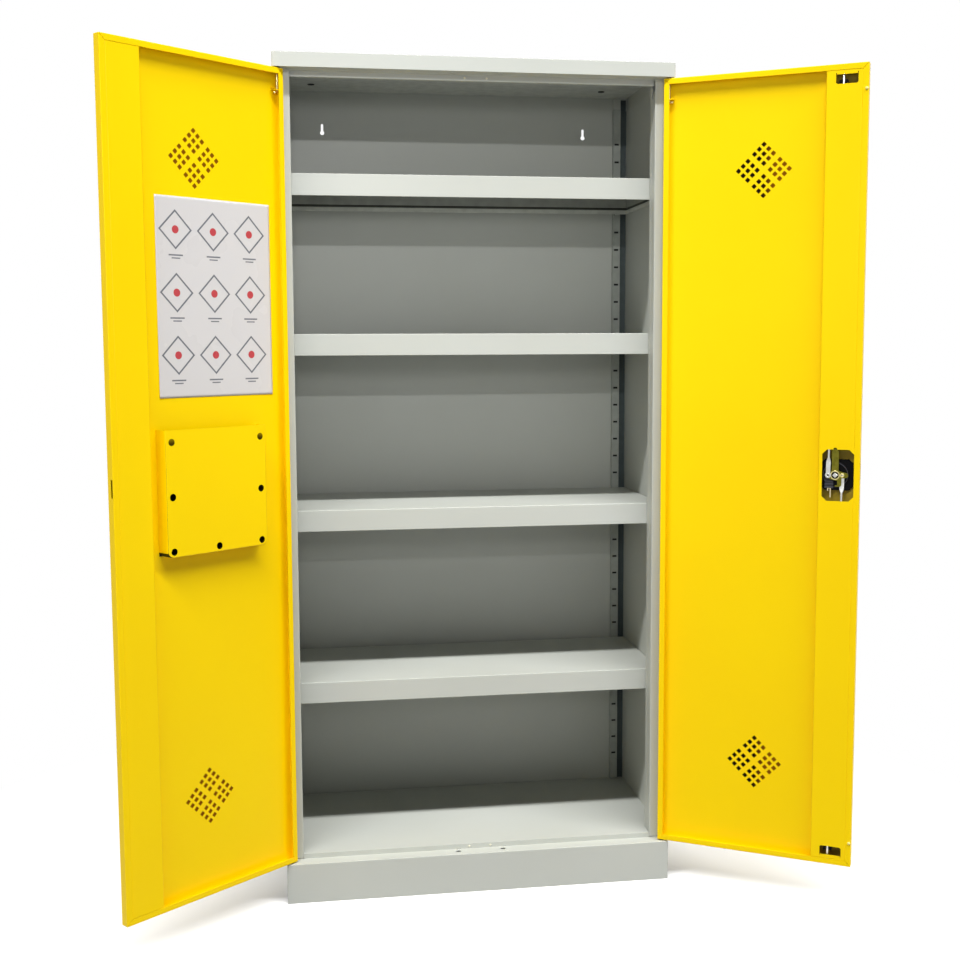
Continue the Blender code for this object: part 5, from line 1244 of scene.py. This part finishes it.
def coat_with_painted_light(name, base, boxes, painted_light_colour, attribute=None):
    """A copy of a coat whose colour inside the boxes turns to a painted one, darker for painted shade and lighter for
    painted light, clouded toward a still darker tone of it. The boxes are measured in the attribute, or else in the
    object's own places."""
    material = base.copy()
    material.name = name
    tree = material.node_tree
    colour = tree.nodes["Principled BSDF"].inputs["Base Color"]
    if attribute:
        place = node(tree, "ShaderNodeAttribute", attribute_name=attribute).outputs["Vector"]
    else:
        place = object_place(tree)
    parts = node(tree, "ShaderNodeSeparateXYZ", in_0=place)
    share = box_mask(tree, parts, boxes[0])
    for box in boxes[1:]:
        share = arithmetic(tree, "MAXIMUM", share, box_mask(tree, parts, box))
    # Painted light and shade: the given colour, clouded by noise toward a darker tone of it.
    painted_tone = mix(tree, noise(tree, place, 45.0), painted_light_colour, tuple(value * 0.6 for value in painted_light_colour[:3]) + (1.0,))
    tree.links.new(mix(tree, share, colour.links[0].from_socket, painted_tone), colour)
    return material


POCKET_INSIDE = ((0.0825, 0.3425, 0.0003), (0.0004, 0.0350, 0.0002))
CHANNEL_BOX = ((0.3676, 0.4450, 0.0003), (0.0004, 0.0196, 0.0003), (STIFF_LOW, STIFF_HIGH, 0.002))
POCKET_BOX = (*POCKET_INSIDE, (POCKET_LOW + 0.0005, POCKET_HIGH, 0.030))
POCKET_FOOT = (*POCKET_INSIDE, (POCKET_LOW + 0.0005, POCKET_LOW + 0.190, 0.001))

# Painted shade: inside the channels and the pocket the yellow is painted dark brownish, the pocket's lower part nearly
# black so that its lower holes look dark, and the right door's channel a lighter brownish yellow.
pocket_shade_coat = coat_with_painted_light("yellow_coat_pocket_painted_shade", yellow_coat, [CHANNEL_BOX, POCKET_BOX], linear(80, 64, 10),
                          "door_measure")
left_door_shade_coat = coat_with_painted_light("yellow_coat_left_painted_shade", pocket_shade_coat, [POCKET_FOOT], linear(20, 16, 5), "door_measure")
right_door_shade_coat = coat_with_painted_light("yellow_coat_right_painted_shade", yellow_coat, [CHANNEL_BOX], linear(172, 148, 44), "door_measure")
for name in ("left_door_shell", "left_door_channel", "pocket_box"):
    dress(name, left_door_shade_coat, "left")
for name in ("right_door_shell", "right_door_channel"):
    dress(name, right_door_shade_coat, "right")
print("yellow coats:", left_door_shade_coat.name, right_door_shade_coat.name)

# %% Coats of the case, with painted shade and light
GAP_NEAR, GAP_DEPTH = 0.4385, (0.4415, 0.4446)
# Painted shade for the deep gaps beside the rear uprights.
GAP_SHADE_GREY = linear(74, 86, 86)


def both_sides(near, far, depth, up=(PLINTH, CAP_UNDER + 0.003, 0.002)):
    """Mask boxes at the left and at the right, from near to far from the middle."""
    return [((*sorted((way * near, way * far)), 0.0006), (*depth, 0.0003), up) for way in WAY.values()]


def shelf_boxes(start, end):
    """A box inside the folds of each shelf, between two heights over its lower edge."""
    return [((-0.4570, 0.4570, 0.0003), (0.0805, 0.4283, 0.0003),
             (top - SHELF_DROP + start, top - SHELF_DROP + end, 0.0004)) for top in SHELF_TOPS]


# Painted shade: the gaps between the rear uprights and the sides, and the back seen through the uprights' slots, are
# painted dark.
gap_shade_coat = coat_with_painted_light("grey_coat_gap_painted_shade", grey_coat, both_sides(GAP_NEAR, 0.4594, GAP_DEPTH), GAP_SHADE_GREY)
back_shade_coat = coat_with_painted_light("grey_coat_back_painted_shade", gap_shade_coat, both_sides(0.4222, 0.4398, GAP_DEPTH), linear(40, 42, 42))
nodes["back_panel"].data.materials[0] = back_shade_coat
# Painted shade: the rear uprights are painted a little darker.
upright_shade_coat = coat_with_painted_light("grey_coat_upright_painted_shade", grey_coat, both_sides(0.4190, 0.4402, (0.4290, 0.4446)),
                        linear(178, 183, 176))
# Painted shade and light on the shelves: the undersides inside the folds are painted darker, the hems lighter, and a
# band just above each hem dark.
underside_shade_coat = coat_with_painted_light("grey_coat_under_painted_shade", grey_coat, shelf_boxes(0.0160, 0.0495), linear(168, 171, 164))
hem_light_coat = coat_with_painted_light("grey_coat_hem_painted_light", underside_shade_coat, shelf_boxes(-0.0004, 0.0106), linear(228, 231, 222))
shelf_light_and_shade_coat = coat_with_painted_light("grey_coat_shelf_painted_light_and_shade", hem_light_coat, shelf_boxes(0.0108, 0.0168), linear(66, 68, 62))
# Painted light: the cap's underside, the ceiling of the top bay, is painted lighter. Painted shade: the gaps at the
# cap's rear corners are painted dark.
ceiling_light_coat = coat_with_painted_light("grey_coat_cap_painted_light", grey_coat, [((-0.4585, 0.4585, 0.001), (0.0015, 0.4435, 0.001),
                                                         (1.925, 1.9495, 0.0003))], linear(240, 243, 235))
cap_light_and_shade_coat = coat_with_painted_light("grey_coat_lip_painted_light_and_shade", ceiling_light_coat,
                       both_sides(GAP_NEAR, 0.4586, GAP_DEPTH, (1.9140, 1.9460, 0.0005)), GAP_SHADE_GREY)
dress("cap_lid", cap_light_and_shade_coat)
for count in range(1, len(SHELF_TOPS) + 1):
    dress(f"tray_{count}", shelf_light_and_shade_coat)
for side in WAY:
    dress(side + "_side_sheet", gap_shade_coat)
    nodes["upright_rear_" + side].data.materials[0] = upright_shade_coat
print("grey coats:", len([material for material in bpy.data.materials if material.name.startswith("grey_coat")]))

# %% Seam behind the ceiling
seam = surface("back_seam", pushed(rectangle((-0.4205, 0.4437), (0.4205, 0.4443)), (1.9163, 1.9187)), grey_coat)
keep(seam, "carcass", "grey_paint")

# %% [markdown]
# ## Floor, backdrop and light
# The photograph has a plain white ground. A wide floor takes the object's shadow and fades to the same white away
# from it, and the world is white to the camera and to glossy rays but a faint grey as a lamp. Long tubes under a high
# ceiling give most of the light. The crisp shadow edges inside the upper bays come from a small lamp far in front,
# and the upper bays are lighter than the lower ones, so a narrow soft lamp near the camera is aimed at them. Soft
# lamps at the left and behind light the sides that face away, and leave the inside alone.

# %% Ground
FLOOR_HALF = 30.0
WHITE = (1, 1, 1, 1)


def plain_grey(level):
    """A grey of linear light."""
    return level, level, level, 1


def seen_directly(tree):
    """One where a ray is a camera, glossy or transmission ray, else zero."""
    path = node(tree, "ShaderNodeLightPath")
    seen = arithmetic(tree, "MAXIMUM", path.outputs["Is Camera Ray"], path.outputs["Is Glossy Ray"])
    return arithmetic(tree, "MAXIMUM", seen, path.outputs["Is Transmission Ray"])


def build_floor_finish():
    """Pale matt floor near the cabinet, fading by distance from it into plain white for seen rays."""
    material, tree, shader = start_material("studio_floor")
    seen = seen_directly(tree)
    fill(tree, shader, {"Base Color": mix(tree, seen, plain_grey(0.25), plain_grey(0.95)), "Roughness": 0.9,
                        "Specular IOR Level": 0.1})
    distance = node(tree, "ShaderNodeVectorMath", operation="LENGTH", in_0=object_place(tree)).outputs["Value"]
    share = times(tree, span(tree, distance, 0.7, 1.6), seen)
    white = node(tree, "ShaderNodeEmission", in_0=WHITE, in_1=1.0)
    blend = node(tree, "ShaderNodeMixShader", in_0=share, in_1=shader.outputs[0], in_2=white.outputs[0])
    fill(tree, tree.nodes["Material Output"], {"Surface": blend.outputs[0]})
    return material


def lay_stage(name, low, high, level, finish):
    """A level rectangle with its finish, for the stage."""
    item = put_mesh(name, pushed(rectangle(low, high), (level,)), [(0, 1, 2, 3)])
    item.data.materials.append(finish)
    return item


lay_stage("studio_floor", (-FLOOR_HALF, -FLOOR_HALF), (FLOOR_HALF, FLOOR_HALF), 0.0, build_floor_finish())
print("floor is", 2 * FLOOR_HALF, "m wide")


# %% Lamps
def place_lamp(data, place, target, power):
    """Puts a lamp in the scene, turned to a target and unseen by the camera."""
    data.energy = power
    item = bpy.data.objects.new(data.name, data)
    bpy.context.scene.collection.objects.link(item)
    item.location = place
    item.rotation_mode = "QUATERNION"
    item.rotation_quaternion = (Vector(target) - Vector(place)).to_track_quat("-Z", "Y")
    item.visible_camera = False


def add_lamp(name, place, target, size, power):
    """A rectangular area lamp at a place, turned to a target, its length along the front."""
    data = bpy.data.lights.new(name, "AREA")
    data.shape = "RECTANGLE"
    data.size, data.size_y = size
    place_lamp(data, place, target, power)


def add_spot(name, place, target, radius, power, cone):
    """A small round lamp whose light fades from the middle of its cone, in degrees, to the edge."""
    data = bpy.data.lights.new(name, "SPOT")
    data.shadow_soft_size = radius
    data.spot_size = math.radians(cone)
    data.spot_blend = 1.0
    place_lamp(data, place, target, power)


add_lamp("hall_tubes", (0.54, -7.56, 14.6), (0.54, 0, 0.9), (28.0, 0.9), 5950)
add_lamp("left_lamp", (-5.0, -4.0, 2.0), (0, 0, 1.0), (2.0, 1.0), 8)
add_lamp("rear_lamp", (0.5, 6.0, 5.0), (0, 0, 1.0), (5.0, 1.5), 420)
add_spot("far_front_lamp", (-0.3, -6.0, 3.1), (0, 0.44, 1.60), 0.05, 255, 20)
add_spot("near_front_lamp", (-0.4, -3.4, 1.8), (0, 0.44, 1.8), 0.2, 50, 60)
print("lamps:", len(bpy.data.lights))

# %% World
SKY = 0.006
SKY_TINT = (0.95, 0.97, 1.0, 1)

world = bpy.data.worlds.new("studio_world")
world.use_nodes = True
bpy.context.scene.world = world
tree = world.node_tree
faint = fill(tree, tree.nodes["Background"], {"Color": SKY_TINT, "Strength": SKY})
plain = node(tree, "ShaderNodeBackground", in_Color=WHITE, in_Strength=1.0)
joined = node(tree, "ShaderNodeMixShader", in_0=seen_directly(tree), in_1=faint.outputs[0], in_2=plain.outputs[0])
fill(tree, tree.nodes["World Output"], {"Surface": joined.outputs[0]})
print("world:", world.name)

# %% [markdown]
# ## Net in the tubes' beam
# The tubes hang so steeply that the level top takes nearly twice the light of the fronts and would come out plain
# white. The lamps can't come down without darkening the fronts, so a net hangs in the beam over the top, as in a photo
# studio: thin see-through cloth that lets some three fifths of the light through. It shades the top alone, and like the
# lamps it is not seen itself.

# %% Net
NET_OVER_TOP = 0.020


def build_net_finish():
    """See-through cloth: a noise mixes two greys of nearly the same strength, which tint the light that passes."""
    material, tree, shader = start_material("studio_net")
    tree.nodes.remove(shader)
    cloth = mix(tree, noise(tree, object_place(tree), 30.0, 2.0), plain_grey(0.60), plain_grey(0.64))
    clear = node(tree, "ShaderNodeBsdfTransparent", in_0=cloth)
    fill(tree, tree.nodes["Material Output"], {"Surface": clear.outputs[0]})
    return material


net = lay_stage("studio_net", (-HALF, -0.012), (HALF, 0.435), HIGH + NET_OVER_TOP, build_net_finish())
for ray in ("camera", "glossy", "transmission"):
    setattr(net, "visible_" + ray, False)
print("the net hangs", NET_OVER_TOP, "m over the top")
